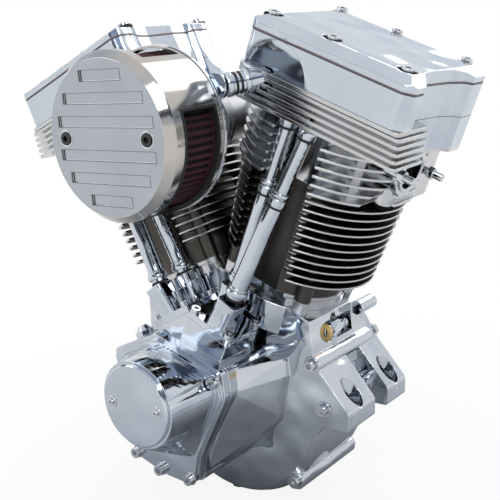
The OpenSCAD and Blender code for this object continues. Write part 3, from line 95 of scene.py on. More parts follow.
def at(side, a, y, h):
    """A point given in millimetres in a cylinder's frame."""
    return cyl_matrix(side) @ Vector((a, y, h))


print("crankshaft at", [round(v, 4) for v in CRANK])
print("front cylinder's top:", [round(v, 4) for v in at(FRONT, 0, 0, COVER_TOP)])

# %% [markdown]
# ## Material tools
# A node group is built once and placed in each material with its own values. These groups put out
# only values, masks and colours, and the Principled BSDF stays in the material.

# %% Node helpers
def new_group(name, inputs, outputs):
    """An empty shader node group with named sockets: (name, kind, default)."""
    g = bpy.data.node_groups.new(name, "ShaderNodeTree")
    for label, kind, default in inputs:
        s = g.interface.new_socket(name=label, in_out="INPUT", socket_type=kind)
        if default is not None:
            s.default_value = default
    for label, kind in outputs:
        g.interface.new_socket(name=label, in_out="OUTPUT", socket_type=kind)
    return g, g.nodes.new("NodeGroupInput"), g.nodes.new("NodeGroupOutput")


def node(tree, kind, **values):
    """Adds a node, sets its properties, and its inputs by name."""
    n = tree.nodes.new(kind)
    for key, value in values.items():
        if hasattr(n, key):
            setattr(n, key, value)
        else:
            n.inputs[key.replace("_", " ")].default_value = value
    return n


def feed(tree, value, socket):
    """Links a socket, or sets a number or colour."""
    if isinstance(value, bpy.types.NodeSocket):
        tree.links.new(value, socket)
    else:
        socket.default_value = value


def math_node(tree, op, a, b=None, clamp=False):
    """A Math node whose inputs are sockets or numbers; returns its output."""
    n = node(tree, "ShaderNodeMath", operation=op, use_clamp=clamp)
    feed(tree, a, n.inputs[0])
    if b is not None:
        feed(tree, b, n.inputs[1])
    return n.outputs[0]


def vector_node(tree, op, a, b=None):
    """A Vector Math node; returns its vector or value output."""
    n = node(tree, "ShaderNodeVectorMath", operation=op)
    feed(tree, a, n.inputs[0])
    if b is not None:
        feed(tree, b, n.inputs["Scale"] if op == "SCALE" else n.inputs[1])
    return n.outputs["Value"] if op in ("DOT_PRODUCT", "LENGTH") else n.outputs[0]


def spread(tree, value, lo, hi, out_lo=0.0, out_hi=1.0):
    """A Map Range node that is clamped at both ends."""
    n = node(tree, "ShaderNodeMapRange", From_Min=lo, From_Max=hi, To_Min=out_lo, To_Max=out_hi)
    feed(tree, value, n.inputs["Value"])
    return n.outputs["Result"]


def mix_color(tree, fac, a, b):
    """A colour between a and b."""
    n = node(tree, "ShaderNodeMix", data_type="RGBA")
    feed(tree, fac, n.inputs[0])
    for socket, value in ((n.inputs[6], a), (n.inputs[7], b)):
        feed(tree, value if isinstance(value, bpy.types.NodeSocket) else (*value, 1), socket)
    return n.outputs[2]


def mix_value(tree, fac, a, b):
    """A number between a and b."""
    kept = math_node(tree, "MULTIPLY", math_node(tree, "SUBTRACT", 1.0, fac), a)
    return math_node(tree, "ADD", kept, math_node(tree, "MULTIPLY", fac, b))


print("node helpers ready")

# %% [markdown]
# Ground and cast metal share one kind of grain, and every metal edge on the real engine is rounded
# and rubbed brighter. The CAD solids have sharp edges. A Bevel node finds the edges without any
# change to the mesh, and the EdgeWear group turns the difference of the two normals into a mask.

# %% Node groups
EDGE_GAIN = 12.0


def grain_group():
    """Cast or ground grain: a fine height and a slow mottle, from the object's own coordinates."""
    g, i, o = new_group(
        "Grain",
        [("Vector", "NodeSocketVector", None), ("Scale", "NodeSocketFloat", 400.0),
         ("Stretch", "NodeSocketVector", (1, 1, 1))],
        [("Height", "NodeSocketFloat"), ("Mottle", "NodeSocketFloat")],
    )
    fine = node(g, "ShaderNodeTexNoise", Detail=3.0)
    slow = node(g, "ShaderNodeTexNoise", Scale=14.0, Detail=4.0)
    stretched = vector_node(g, "MULTIPLY", i.outputs["Vector"], i.outputs["Stretch"])
    g.links.new(stretched, fine.inputs["Vector"])
    g.links.new(i.outputs["Scale"], fine.inputs["Scale"])
    g.links.new(i.outputs["Vector"], slow.inputs["Vector"])
    g.links.new(fine.outputs["Fac"], o.inputs["Height"])
    g.links.new(slow.outputs["Fac"], o.inputs["Mottle"])
    return g


def axis_group():
    """Distance from an axis through a point, and distance along it, in metres."""
    g, i, o = new_group(
        "AroundAxis",
        [("Vector", "NodeSocketVector", None), ("Point", "NodeSocketVector", (0, 0, 0)),
         ("Axis", "NodeSocketVector", (0, 0, 1))],
        [("Radius", "NodeSocketFloat"), ("Along", "NodeSocketFloat")],
    )
    rel = vector_node(g, "SUBTRACT", i.outputs["Vector"], i.outputs["Point"])
    along = vector_node(g, "DOT_PRODUCT", rel, i.outputs["Axis"])
    off = vector_node(g, "SUBTRACT", rel, vector_node(g, "SCALE", i.outputs["Axis"], along))
    g.links.new(vector_node(g, "LENGTH", off), o.inputs["Radius"])
    g.links.new(along, o.inputs["Along"])
    return g


def edge_group():
    """How far a rounded normal leans from the surface's own: 0 on a flat face, 1 on an edge."""
    g, i, o = new_group(
        "EdgeWear",
        [("Rounded", "NodeSocketVector", None), ("Breakup", "NodeSocketFloat", 0.5)],
        [("Mask", "NodeSocketFloat")],
    )
    geo = node(g, "ShaderNodeNewGeometry")
    dot = vector_node(g, "DOT_PRODUCT", i.outputs["Rounded"], geo.outputs["Normal"])
    lean = math_node(g, "MULTIPLY", math_node(g, "SUBTRACT", 1.0, dot), EDGE_GAIN)
    worn = math_node(g, "MULTIPLY", lean, spread(g, i.outputs["Breakup"], 0.3, 0.6, 0.6, 1.0), clamp=True)
    g.links.new(worn, o.inputs["Mask"])
    return g


GRAIN, AROUND, EDGE = grain_group(), axis_group(), edge_group()
print("groups:", [g.name for g in bpy.data.node_groups])


# %% [markdown]
# One function makes every finish. Rounding is the radius of the soft edges in millimetres, and wave
# is the slow swell that a polished casting shows in its reflections.

# %% Make the materials
GRAIN_DEPTH, MOTTLE = 0.2 * MM, (0.3, 0.7)


def material(name, color, metallic, roughness, grain=0.0, scale=400.0, stretch=(1, 1, 1), bump=0.1,
             vary=0.0, coat=0.0, rounding=0.8, edge_color=None, edge_rough=None, tone=0.06, wave=0.0):
    """A Principled material with grain, slow changes of gloss and tone, waves and worn edges."""
    m = bpy.data.materials.new(name)
    m.use_nodes = True
    t = m.node_tree
    p = t.nodes["Principled BSDF"]
    p.inputs["Metallic"].default_value = metallic
    p.inputs["Coat Weight"].default_value = coat
    m.diffuse_color = (*color, 1)
    tc = node(t, "ShaderNodeTexCoord")
    gr = node(t, "ShaderNodeGroup", node_tree=GRAIN)
    gr.inputs["Scale"].default_value = scale
    gr.inputs["Stretch"].default_value = stretch
    t.links.new(tc.outputs["Object"], gr.inputs["Vector"])
    mottle = gr.outputs["Mottle"]
    shade = mix_color(t, spread(t, mottle, *MOTTLE), tuple(c * (1 - tone) for c in color),
                      tuple(min(1, c * (1 + tone)) for c in color))
    gloss = spread(t, mottle, *MOTTLE, roughness - vary, roughness + vary) if vary else roughness
    normal = None
    if rounding:
        bev = node(t, "ShaderNodeBevel", samples=4, Radius=MM * rounding)
        normal = bev.outputs["Normal"]
        if edge_color:
            wear = node(t, "ShaderNodeGroup", node_tree=EDGE)
            t.links.new(normal, wear.inputs["Rounded"])
            t.links.new(mottle, wear.inputs["Breakup"])
            mask = wear.outputs["Mask"]
            shade = mix_color(t, mask, shade, edge_color)
            gloss = mix_value(t, mask, gloss, edge_rough)
    if wave:
        swell = node(t, "ShaderNodeTexNoise", Scale=18.0, Detail=1.0)
        t.links.new(tc.outputs["Object"], swell.inputs["Vector"])
        slow = node(t, "ShaderNodeBump", Strength=1.0, Distance=MM * wave)
        t.links.new(swell.outputs["Fac"], slow.inputs["Height"])
        t.links.new(normal, slow.inputs["Normal"])
        normal = slow.outputs["Normal"]
    if grain:
        b = node(t, "ShaderNodeBump", Strength=bump, Distance=GRAIN_DEPTH * grain)
        t.links.new(gr.outputs["Height"], b.inputs["Height"])
        if normal:
            t.links.new(normal, b.inputs["Normal"])
        normal = b.outputs["Normal"]
    t.links.new(shade, p.inputs["Base Color"])
    feed(t, gloss, p.inputs["Roughness"])
    if normal:
        t.links.new(normal, p.inputs["Normal"])
    return m


BRIGHT = (0.78, 0.79, 0.80)
M = {
    "polished_case": material("polished_case", (0.55, 0.58, 0.62), 1, 0.09, vary=0.05, rounding=1.8,
                              edge_color=BRIGHT, edge_rough=0.06, wave=8),
    "chrome": material("chrome", (0.54, 0.58, 0.63), 1, 0.045, vary=0.02, rounding=1.2, edge_color=BRIGHT,
                       edge_rough=0.05, wave=6),
    "rocker_chrome": material("rocker_chrome", (0.54, 0.59, 0.65), 1, 0.06, vary=0.03, rounding=2.2,
                              edge_color=BRIGHT, edge_rough=0.05, wave=6),
    "billet": material("billet", (0.42, 0.45, 0.49), 1, 0.22, grain=0.25, scale=900, stretch=(0.04, 1, 1),
                       bump=0.3, vary=0.05, rounding=0.8, edge_color=BRIGHT, edge_rough=0.1),
    "barrel": material("barrel", (0.085, 0.078, 0.07), 1, 0.40, grain=1, scale=700, bump=0.25, vary=0.08,
                       rounding=0.9, edge_color=(0.66, 0.65, 0.63), edge_rough=0.12),
    "head": material("head", (0.58, 0.585, 0.59), 1, 0.14, grain=1, scale=600, bump=0.2, vary=0.08,
                     rounding=1.0, edge_color=(0.74, 0.75, 0.76), edge_rough=0.1),
    "bright_bolts": material("bright_bolts", (0.60, 0.61, 0.63), 1, 0.12, rounding=0.5, edge_color=BRIGHT,
                             edge_rough=0.1),
    "dark_steel": material("dark_steel", (0.20, 0.20, 0.21), 1, 0.32, vary=0.06, rounding=0.4),
    "black_screws": material("black_screws", (0.014, 0.014, 0.016), 0, 0.28, rounding=0.5,
                             edge_color=(0.07, 0.07, 0.075), edge_rough=0.2),
    "rubber": material("rubber", (0.012, 0.012, 0.012), 0, 0.55, grain=1, scale=2500, bump=0.2,
                       rounding=0.4),
    "cast_alloy": material("cast_alloy", (0.36, 0.36, 0.37), 1, 0.42, grain=1, scale=900, bump=0.3,
                           vary=0.08, rounding=1.0, edge_color=(0.6, 0.6, 0.6), edge_rough=0.25),
    "brass": material("brass", (0.62, 0.44, 0.18), 1, 0.28, vary=0.06, rounding=0.4),
    "filter": material("filter", (0.045, 0.006, 0.010), 0, 0.75, grain=1.5, scale=2600, bump=0.5,
                       rounding=0, tone=0.25),
    "ceramic": material("ceramic", (0.78, 0.78, 0.75), 0, 0.12, coat=0.5, rounding=0.4),
    "steel": material("steel", (0.42, 0.42, 0.43), 1, 0.25, grain=0.3, scale=500, stretch=(1, 0.1, 1),
                      bump=0.1, vary=0.06, rounding=0.6, edge_color=(0.7, 0.7, 0.7), edge_rough=0.18),
    "piston_alloy": material("piston_alloy", (0.5, 0.5, 0.51), 1, 0.35, vary=0.05, rounding=0.5),
}
slot_of = {s["node"]: s["material_slot"] for s in record["subparts"]}
for name, obj in nodes.items():
    obj.data.materials.clear()
    obj.data.materials.append(M[slot_of[name]])
print("materials:", len(M))


# %% [markdown]
# ## Marks that follow an axis
# Some finishes change from place to place on one piece, such as the dark fins with polished rims.
# Each mark is a mask, worked out from the distance to an axis and the distance along it. BORE and OUT
# are the front cylinder's directions, and a mirrored mask uses them for the rear one too.

# %% Masks
BAND_SOFT = 0.15


def measured(mat, point, axis, mirrored=False):
    """Radius and Along of an axis in a material; mirrored lets both cylinders share the front one's."""
    t = mat.node_tree
    tc = node(t, "ShaderNodeTexCoord")
    source = tc.outputs["Object"]
    if mirrored:
        parts = node(t, "ShaderNodeSeparateXYZ")
        whole = node(t, "ShaderNodeCombineXYZ")
        t.links.new(source, parts.inputs[0])
        t.links.new(math_node(t, "ABSOLUTE", parts.outputs["X"]), whole.inputs["X"])
        t.links.new(parts.outputs["Y"], whole.inputs["Y"])
        t.links.new(parts.outputs["Z"], whole.inputs["Z"])
        source = whole.outputs[0]
    around = node(t, "ShaderNodeGroup", node_tree=AROUND)
    t.links.new(source, around.inputs["Vector"])
    around.inputs["Point"].default_value = point
    around.inputs["Axis"].default_value = axis
    return t, around.outputs["Radius"], around.outputs["Along"]


def paint(mat, mask, color, rough=None, metal=None):
    """Blends a second colour, gloss and metalness into a material where the mask is 1."""
    t = mat.node_tree
    p = t.nodes["Principled BSDF"]
    for label, value in (("Base Color", color), ("Roughness", rough), ("Metallic", metal)):
        if value is None:
            continue
        socket = p.inputs[label]
        old = socket.links[0].from_socket if socket.links else None
        if label == "Base Color":
            new = mix_color(t, mask, old, value)
        else:
            new = mix_value(t, mask, old if old else socket.default_value, value)
        t.links.new(new, socket)


def beyond(t, value, edge, soft):
    """1 beyond a distance in millimetres and 0 before it, blended over soft on each side."""
    return spread(t, value, MM * (edge - soft), MM * (edge + soft))


def within(t, value, edge, soft):
    """1 before a distance in millimetres and 0 beyond it, blended over soft on each side."""
    return spread(t, value, MM * (edge + soft), MM * (edge - soft))


def both(t, a, b):
    """1 where both masks are 1."""
    return math_node(t, "MULTIPLY", a, b)


def band(t, value, lo, hi):
    """1 between two distances in millimetres, 0 elsewhere."""
    return both(t, beyond(t, value, lo, BAND_SOFT), within(t, value, hi, BAND_SOFT))


BORE = Vector((math.sin(HALF_V), 0, math.cos(HALF_V)))
OUT = Vector((math.cos(HALF_V), 0, -math.sin(HALF_V)))
ACROSS = (0, 1, 0)
print("masks ready")

# %% [markdown]
# The fins grow from 83 mm radius at the lowest to 90 mm at the top, about an axis that lies 4 mm
# outwards of the bore. Only their rims are polished. The foot flange and the 4 mm of barrel above it
# are bright too.

# %% Cylinders
FIN_SHIFT, RIM_START, RIM_GROWTH, FOOT_TOP, SOFT = 4, 79.4, 0.052, 154, 0.5
t, radius, along = measured(M["barrel"], CRANK + MM * FIN_SHIFT * OUT, BORE, mirrored=True)
above_deck = math_node(t, "SUBTRACT", along, MM * DECK)
rim = math_node(t, "ADD", MM * RIM_START, math_node(t, "MULTIPLY", above_deck, RIM_GROWTH))
past_rim = math_node(t, "SUBTRACT", radius, rim)
paint(M["barrel"], beyond(t, past_rim, 0, SOFT), (0.60, 0.59, 0.57), 0.13)
paint(M["barrel"], within(t, along, FOOT_TOP, SOFT), (0.55, 0.55, 0.56), 0.16)
print("fin rims and feet are bright")

# %% [markdown]
# A reddish gasket marks the joint of the rocker cover, with a band of painted shade just below it,
# where a groove would lie in shadow. A dark line marks the joint of the rocker box.
# The exhaust ports are painted near black inside.

# %% Joints of the rocker boxes, and the exhaust ports
t, radius, along = measured(M["rocker_chrome"], CRANK, BORE, mirrored=True)
paint(M["rocker_chrome"], band(t, along, BOX_TOP - 0.3, BOX_TOP + 0.5), (0.16, 0.03, 0.02), 0.6, 0.0)
# Painted shade: the dark band below the gasket stands in for the shadow in a groove.
paint(M["rocker_chrome"], band(t, along, BOX_TOP - 1.8, BOX_TOP - 0.4), (0.05, 0.055, 0.06), 0.3, 0.0)
paint(M["rocker_chrome"], band(t, along, SHELF_TOP - 0.3, SHELF_TOP + 0.3), (0.03, 0.03, 0.03), 0.6, 0.0)
PORT_R, DARK_START = 19.3, 50.5
port = CRANK + MM * PORT_H * BORE + MM * Vector((0, PORT_Y, 0))
t, radius, along = measured(M["head"], port, OUT, mirrored=True)
# Near-black paint inside each exhaust port, from a set depth inwards.
port_dark = both(t, within(t, radius, PORT_R, 0.1), beyond(t, along, DARK_START, 0.5))
paint(M["head"], port_dark, (0.012, 0.011, 0.010), 0.7, 0.0)
print("gaskets and ports marked")

# %% [markdown]
# Painted shade makes the pleats near black in their folds. The air cleaner's bevel is warm and glossy
# beside the brushed face, whose slots have dark walls of painted shade. One long screw boss of the
# gearcase has a gold tone.

# %% Air cleaner and screw boss
FOLD_R, SLOT_R, BEVEL_R, BOSS_R = 73, 72.5, 75, 8.45
PLEAT_BAND, BOSS_AT, BOSS_BAND = (-185, -135), (50, 56), (-123, -56)
cleaner_c = place(0, 0, CLEANER_H)
t, radius, along = measured(M["filter"], cleaner_c, ACROSS)
# Painted shade: the folds between the pleats are darkened to near black.
fold_shade = both(t, within(t, radius, FOLD_R, 0.8), band(t, along, *PLEAT_BAND))
paint(M["filter"], fold_shade, (0.004, 0.001, 0.002), 0.9)
t, radius, along = measured(M["billet"], cleaner_c, ACROSS)
paint(M["billet"], beyond(t, radius, BEVEL_R, 0.2), (0.50, 0.475, 0.445), 0.10)
slot_depth = band(t, along, CLEANER_FACE + 0.3, CLEANER_FACE + 1.7)
# Painted shade: the slot walls are painted near black, standing in for their shadow.
slot_wall_shade = both(t, slot_depth, within(t, radius, SLOT_R, 0.5))
paint(M["billet"], slot_wall_shade, (0.02, 0.02, 0.022), 0.6, 0.0)
t, radius, along = measured(M["polished_case"], place(BOSS_AT[0], 0, BOSS_AT[1]), ACROSS)
boss = both(t, within(t, radius, BOSS_R, 0.15), band(t, along, *BOSS_BAND))
paint(M["polished_case"], boss, (0.60, 0.50, 0.36), 0.08)
print("pleats, bevel, slots and boss marked")

# %% [markdown]
# ## Fine parts
# Washers, collars, clips and rims are turned rings. One profile is spun round its own axis and set
# in place. Rings of one kind that ride on one body are gathered in one object.

# %% Mesh tools
STEPS, PORT_STEPS = 32, 48
SHARP = math.radians(35)


def mesh_object(name, bm, mat):
    """Turns a bmesh into an object that stays at the origin, with outward faces."""
    bmesh.ops.recalc_face_normals(bm, faces=bm.faces)
    for f in bm.faces:
        f.smooth = True
    me = bpy.data.meshes.new(name)
    bm.to_mesh(me)
    bm.free()
    me.materials.append(mat)
    me.set_sharp_from_angle(angle=SHARP)
    o = bpy.data.objects.new(name, me)
    bpy.context.scene.collection.objects.link(o)
    return o


def aim(origin, toward):
    """A frame in millimetres at a point, whose z axis looks along a direction."""
    return (Matrix.Translation(origin) @ Vector(toward).to_track_quat("Z", "Y").to_matrix().to_4x4()
            @ Matrix.Scale(MM, 4))


def ring(bm, matrix, profile, steps=STEPS):
    """Spins a closed (radius, height) profile round z and adds it to bm."""
    tmp = bmesh.new()
    verts = [tmp.verts.new((r, 0, z)) for r, z in profile]
    edges = [tmp.edges.new((verts[k], verts[(k + 1) % len(verts)])) for k in range(len(verts))]
    bmesh.ops.spin(tmp, geom=verts + edges, cent=(0, 0, 0), axis=(0, 0, 1), angle=2 * math.pi,
                   steps=steps, use_merge=True)
    bmesh.ops.remove_doubles(tmp, verts=tmp.verts, dist=1e-4)
    tmp.transform(matrix)
    me = bpy.data.meshes.new("tmp")
    tmp.to_mesh(me)
    tmp.free()
    bm.from_mesh(me)
    bpy.data.meshes.remove(me)


def washer(bm, origin, toward, r0, r1, thick):
    """A flat washer with a small chamfer."""
    c = min(0.35, thick / 3)
    ring(bm, aim(origin, toward), [(r0, 0), (r1, 0), (r1, thick - c), (r1 - c, thick), (r0, thick)])


def collar(bm, origin, toward, r0, r1, length):
    """A collar with rounded ends, such as a sleeve round a tube."""
    c = (r1 - r0) * 0.6
    ring(bm, aim(origin, toward), [(r0, 0), (r1 - c, 0), (r1 - 0.3 * c, 0.3 * c), (r1, c),
         (r1, length - c), (r1 - 0.3 * c, length - 0.3 * c), (r1 - c, length), (r0, length)])


def rides(name, bm, mat):
    """Finishes a gathered object and lets it ride on the engine, which holds all of these pieces."""
    o = mesh_object(name, bm, mat)
    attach(o, "engine")
    print(name, len(o.data.polygons), "faces")


print("mesh tools ready")

# %% [markdown]
# Bright washers lie under the screws on the right side. The rocker cover's bolts sit in pockets; dark
# discs of painted shade lie on their floors, and the pockets on the right side get a dark wall of painted
# shade too.

# %% Washers under the screws, and painted shade in the cover bolts' pockets
RIGHT = Vector((0, -1, 0))
COVER_BOLT_A, COVER_BOLT_Y, POCKET_DEPTH = (-65, 5, 87), (-65, 58), 4
COVER_SCREWS, COVER_FACE = [BOSS_AT, (-72, -50), (-38, -63), (5, -64)], -138
bm = bmesh.new()
for x, z in COVER_SCREWS:
    washer(bm, place(x, COVER_FACE, z), RIGHT, 6.1, 7.4, 0.8)
for s in (-1, 1):
    washer(bm, place(s * TIMER_SCREW_X + TIMER_C[0], TIMER_FACE, TIMER_C[1]), RIGHT, 3.3, 6.2, 0.9)
    washer(bm, place(s * CLEANER_SCREW_X, CLEANER_FACE, CLEANER_H), RIGHT, 6.6, 8.6, 0.5)
rides("screw_washers", bm, M["bright_bolts"])

# Painted shade: dark discs on the pocket floors, and dark rings on the walls of the right side's pockets.
bm = bmesh.new()
for side in (FRONT, REAR):
    up_bore = cyl_matrix(side).to_3x3() @ Vector((0, 0, 1))
    for a in COVER_BOLT_A:
        for y in COVER_BOLT_Y:
            pocket = at(side, a, y, COVER_TOP - POCKET_DEPTH + 0.1)
            washer(bm, pocket, up_bore, 6.2, 9.6, 0.8)
            if y < 0:
                ring(bm, aim(pocket, up_bore), [(9.5, 0), (9.85, 0), (9.85, 2.6), (9.5, 2.6)])
rides("cover_pocket_shade", bm, M["rubber"])

# %% [markdown]
# Each pushrod runs in a two-part tube. Collars mark its foot on the tappet block, the joint where the
# thin tube slides into the wide one, and the clip at its upper end. Two dark bands are seals.

# %% Pushrod tube collars
LOWER_R, UPPER_R, UPPER_Y = 9.05, 7.05, -72
EXHAUST_FOOT, EXHAUST_HEAD = (46.29, 116.29), (163.87, 344.27)
INTAKE_FOOT, INTAKE_HEAD = (33.21, 123.24), (136.45, 357.25)
TUBES = [(FRONT, -107.5, EXHAUST_FOOT, EXHAUST_HEAD), (REAR, -93.9, EXHAUST_FOOT, EXHAUST_HEAD),
         (FRONT, -80.3, INTAKE_FOOT, INTAKE_HEAD), (REAR, -66.7, INTAKE_FOOT, INTAKE_HEAD)]
# place along the tube, inner and outer radius, length
COLLARS = [(0.108, LOWER_R, 11.6, 7), (0.136, LOWER_R, 10.4, 3), (0.555, UPPER_R, 9.6, 5),
           (0.80, UPPER_R, 9.4, 9), (0.845, UPPER_R, 8.4, 3)]
bm, dark = bmesh.new(), bmesh.new()
for side, foot_y, foot, head in TUBES:
    a, b = place(side * foot[0], foot_y, foot[1]), place(side * head[0], UPPER_Y, head[1])
    line = (b - a).normalized()
    for start, r0, r1, length in COLLARS:
        collar(bm, a + (b - a) * start, line, r0, r1, length)
    collar(dark, a + (b - a) * 0.5 + line * 2 * MM, line, LOWER_R, 9.9, 2.2)
    collar(dark, a + (b - a) * 0.79, line, UPPER_R, 8.3, 3)
rides("pushrod_tube_collars", bm, M["chrome"])
rides("pushrod_tube_bands", dark, M["rubber"])

# %% [markdown]
# Each breather tube carries two bright clamps near the air cleaner, with two dark bands between them.

# %% Breather tube clamps
BREATHER_IN, BREATHER_OUT, BREATHER_R = (74, -117.7, 353), (119.55, -50, 361.79), 10.05
CLAMPS_AT, BANDS_AT = (0.04, 0.26), (0.14, 0.20)
bm, dark = bmesh.new(), bmesh.new()
for side in (FRONT, REAR):
    a, b = (place(side * x, y, z) for x, y, z in (BREATHER_IN, BREATHER_OUT))
    line = (b - a).normalized()
    for k in CLAMPS_AT:
        collar(bm, a + (b - a) * k, line, BREATHER_R, 11.8, 6)
    for k in BANDS_AT:
        collar(dark, a + (b - a) * k, line, BREATHER_R, 10.9, 2.5)
rides("breather_clamps", bm, M["chrome"])
rides("breather_bands", dark, M["rubber"])

# %% [markdown]
# A chrome ring with a rounded lip frames each exhaust port.

# %% Exhaust port rings
bm = bmesh.new()
for side in (FRONT, REAR):
    outwards = cyl_matrix(side).to_3x3() @ Vector((1, 0, 0))
    ring(bm, aim(at(side, PORT_FACE - 0.3, PORT_Y, PORT_H), outwards),
         [(17.4, -5), (18.9, -5), (18.9, 0.4), (21.6, 0.4), (21.6, 1.4), (20.8, 2.2), (18.2, 2.2),
          (17.4, 1.4)], PORT_STEPS)
rides("exhaust_port_rings", bm, M["bright_bolts"])

# %% [markdown]
# Each side window of the air cleaner has a black rubber edge. It is made of two strips that follow
# the shell's curve, and a rung at each end of the window.

# %% Window edges
WINDOWS, WINDOW_Y = [(-84, 18), (162, 264)], (-184.9, -135.1)
FRONT_W, BACK_W, RUNG, END_GAP = 2.5, 2.3, 2, 0.1   # two widths along y, a rung and its gap in degrees
STRIP_STEPS, RUNG_STEPS = 40, 3


def strip(bm, a0, a1, y0, y1, steps):
    """A curved slab through the air cleaner's shell, between two angles in degrees."""
    r0, r1 = CLEANER_SHELL - 4.4, CLEANER_SHELL + 0.6
    rows = []
    for k in range(steps + 1):
        a = math.radians(a0 + (a1 - a0) * k / steps)
        rows.append([bm.verts.new(place(r * math.cos(a), y, CLEANER_H + r * math.sin(a)))
                     for r, y in ((r0, y0), (r1, y0), (r1, y1), (r0, y1))])
    for u, v in zip(rows, rows[1:]):
        for k in range(4):
            bm.faces.new((u[k], u[(k + 1) % 4], v[(k + 1) % 4], v[k]))
    bm.faces.new(rows[0])
    bm.faces.new(rows[-1][::-1])


bm = bmesh.new()
front_y, back_y = WINDOW_Y
inner_y = (front_y + FRONT_W, back_y - BACK_W)
for a0, a1 in WINDOWS:
    strip(bm, a0, a1, front_y, inner_y[0], STRIP_STEPS)
    strip(bm, a0, a1, inner_y[1], back_y, STRIP_STEPS)
    strip(bm, a0 + END_GAP, a0 + RUNG, *inner_y, RUNG_STEPS)
    strip(bm, a1 - RUNG, a1 - END_GAP, *inner_y, RUNG_STEPS)
rides("window_edges", bm, M["rubber"])

# %% [markdown]
# Six shallow slots cross the air cleaner's face. A thin dark frame of painted shade marks the edge of
# each one.

# %% Slot edges, painted shade
SLOT_ROWS, SLOT_HALF, SLOT_REACH = (-59, -38, -16, 16, 38, 59), 5, 65
EDGE_W, EDGE_T, EDGE_BACK = 0.55, 0.12, CLEANER_FACE - 0.05


def frame_box(bm, x0, x1, z0, z1):
    """A thin box of painted shade on the air cleaner's face."""
    lo, hi = place(x0, EDGE_BACK - EDGE_T, CLEANER_H + z0), place(x1, EDGE_BACK, CLEANER_H + z1)
    for v in bmesh.ops.create_cube(bm, size=1)["verts"]:
        v.co = Vector(tuple(lo[i] if v.co[i] < 0 else hi[i] for i in range(3)))


# Painted shade: thin dark frames stand in for the shadow along each slot's edges.
bm = bmesh.new()
for z in SLOT_ROWS:
    half = math.sqrt(SLOT_REACH**2 - z**2)
    for edge_z in (z - SLOT_HALF - EDGE_W, z + SLOT_HALF):
        frame_box(bm, -half - EDGE_W, half + EDGE_W, edge_z, edge_z + EDGE_W)
    for edge_x in (-half - EDGE_W, half):
        frame_box(bm, edge_x, edge_x + EDGE_W, z - SLOT_HALF, z + SLOT_HALF)
rides("slot_edge_shadows", bm, M["dark_steel"])

# %% [markdown]
# Small turned parts finish the crankcase: washers on the through bolts and a brass collar on the oil
# union.

# %% Crankcase small parts
CASE_FACE, UNION_X, UNION_Y, UNION_H = -54.05, 112, -25.2, 84
CASE_BOLTS = [(s * x, s * z) for x, z in ((114, 57), (126, 9), (84.5, -84.5)) for s in (1, -1)]
bm = bmesh.new()
for x, z in CASE_BOLTS:
    washer(bm, place(x, CASE_FACE, z), RIGHT, 6.4, 9.2, 1.0)
rides("case_bolt_washers", bm, M["bright_bolts"])
bm = bmesh.new()
ring(bm, aim(place(UNION_X, UNION_Y, UNION_H), RIGHT),
     [(6.2, 0), (11.6, 0), (11.6, 1.4), (10.4, 2.2), (6.2, 2.2)])
rides("oil_union_collar", bm, M["brass"])

# %% [markdown]
# ## Camera, lamps and studio
# The camera was found by matching the photo's edges: 38.4 degrees to the front of the right side,
# 13.4 degrees above, with a slight roll.

# %% Camera
AZ, EL, ROLL = math.radians(38.42), math.radians(13.39), math.radians(-4.17)
TARGET = CRANK + Vector((0, 0, 0.15858))
DISTANCE, FOCAL_PX, FRAME_PX, SENSOR = 1.04585, 913.35, 500, 36
back = Vector((math.sin(AZ) * math.cos(EL), -math.cos(AZ) * math.cos(EL), math.sin(EL)))
right = Vector((math.cos(AZ), math.sin(AZ), 0))
up = back.cross(right)
right2 = math.cos(ROLL) * right + math.sin(ROLL) * up
up2 = -math.sin(ROLL) * right + math.cos(ROLL) * up
cam_data = bpy.data.cameras.new("camera")
cam = bpy.data.objects.new("camera", cam_data)
bpy.context.scene.collection.objects.link(cam)
cam_data.sensor_width = SENSOR
cam_data.sensor_fit = "HORIZONTAL"
cam_data.lens = FOCAL_PX / FRAME_PX * SENSOR
cam_data.clip_start = 0.01
eye = TARGET + DISTANCE * back
cam.matrix_world = Matrix([(right2[i], up2[i], back[i], eye[i]) for i in range(3)] + [(0, 0, 0, 1)])
bpy.context.scene.camera = cam
print("camera:", [round(v, 4) for v in cam.matrix_world.translation])

# %% [markdown]
# Three large soft lamps look at the middle of the engine: a key from the front right, a weaker fill
# from the rear right, and one from the left side that lights the edges.

# %% Lamps
AIM_AT = Vector((0, 0, 0.15))


def lamp(name, spot, size, watts):
    """A soft square lamp that looks at the engine."""
    d = bpy.data.lights.new(name, "AREA")
    d.shape, d.size, d.energy = "SQUARE", size, watts
    o = bpy.data.objects.new(name, d)
    o.location = spot
    o.rotation_euler = (AIM_AT - Vector(spot)).to_track_quat("-Z", "Y").to_euler()
    bpy.context.scene.collection.objects.link(o)


lamp("key", (1.6, -1.6, 2.2), 1.4, 30)
lamp("fill", (-1.9, -1.5, 1.5), 1.6, 14)
lamp("back", (0.3, 2.0, 1.9), 1.6, 20)

# %% [markdown]
# Chrome shows what stands round it. Above the studio's pale wall comes a ring of dark uneven cards,
# which is missing on the engine's left side, and then a pale blue ceiling that turns white overhead.

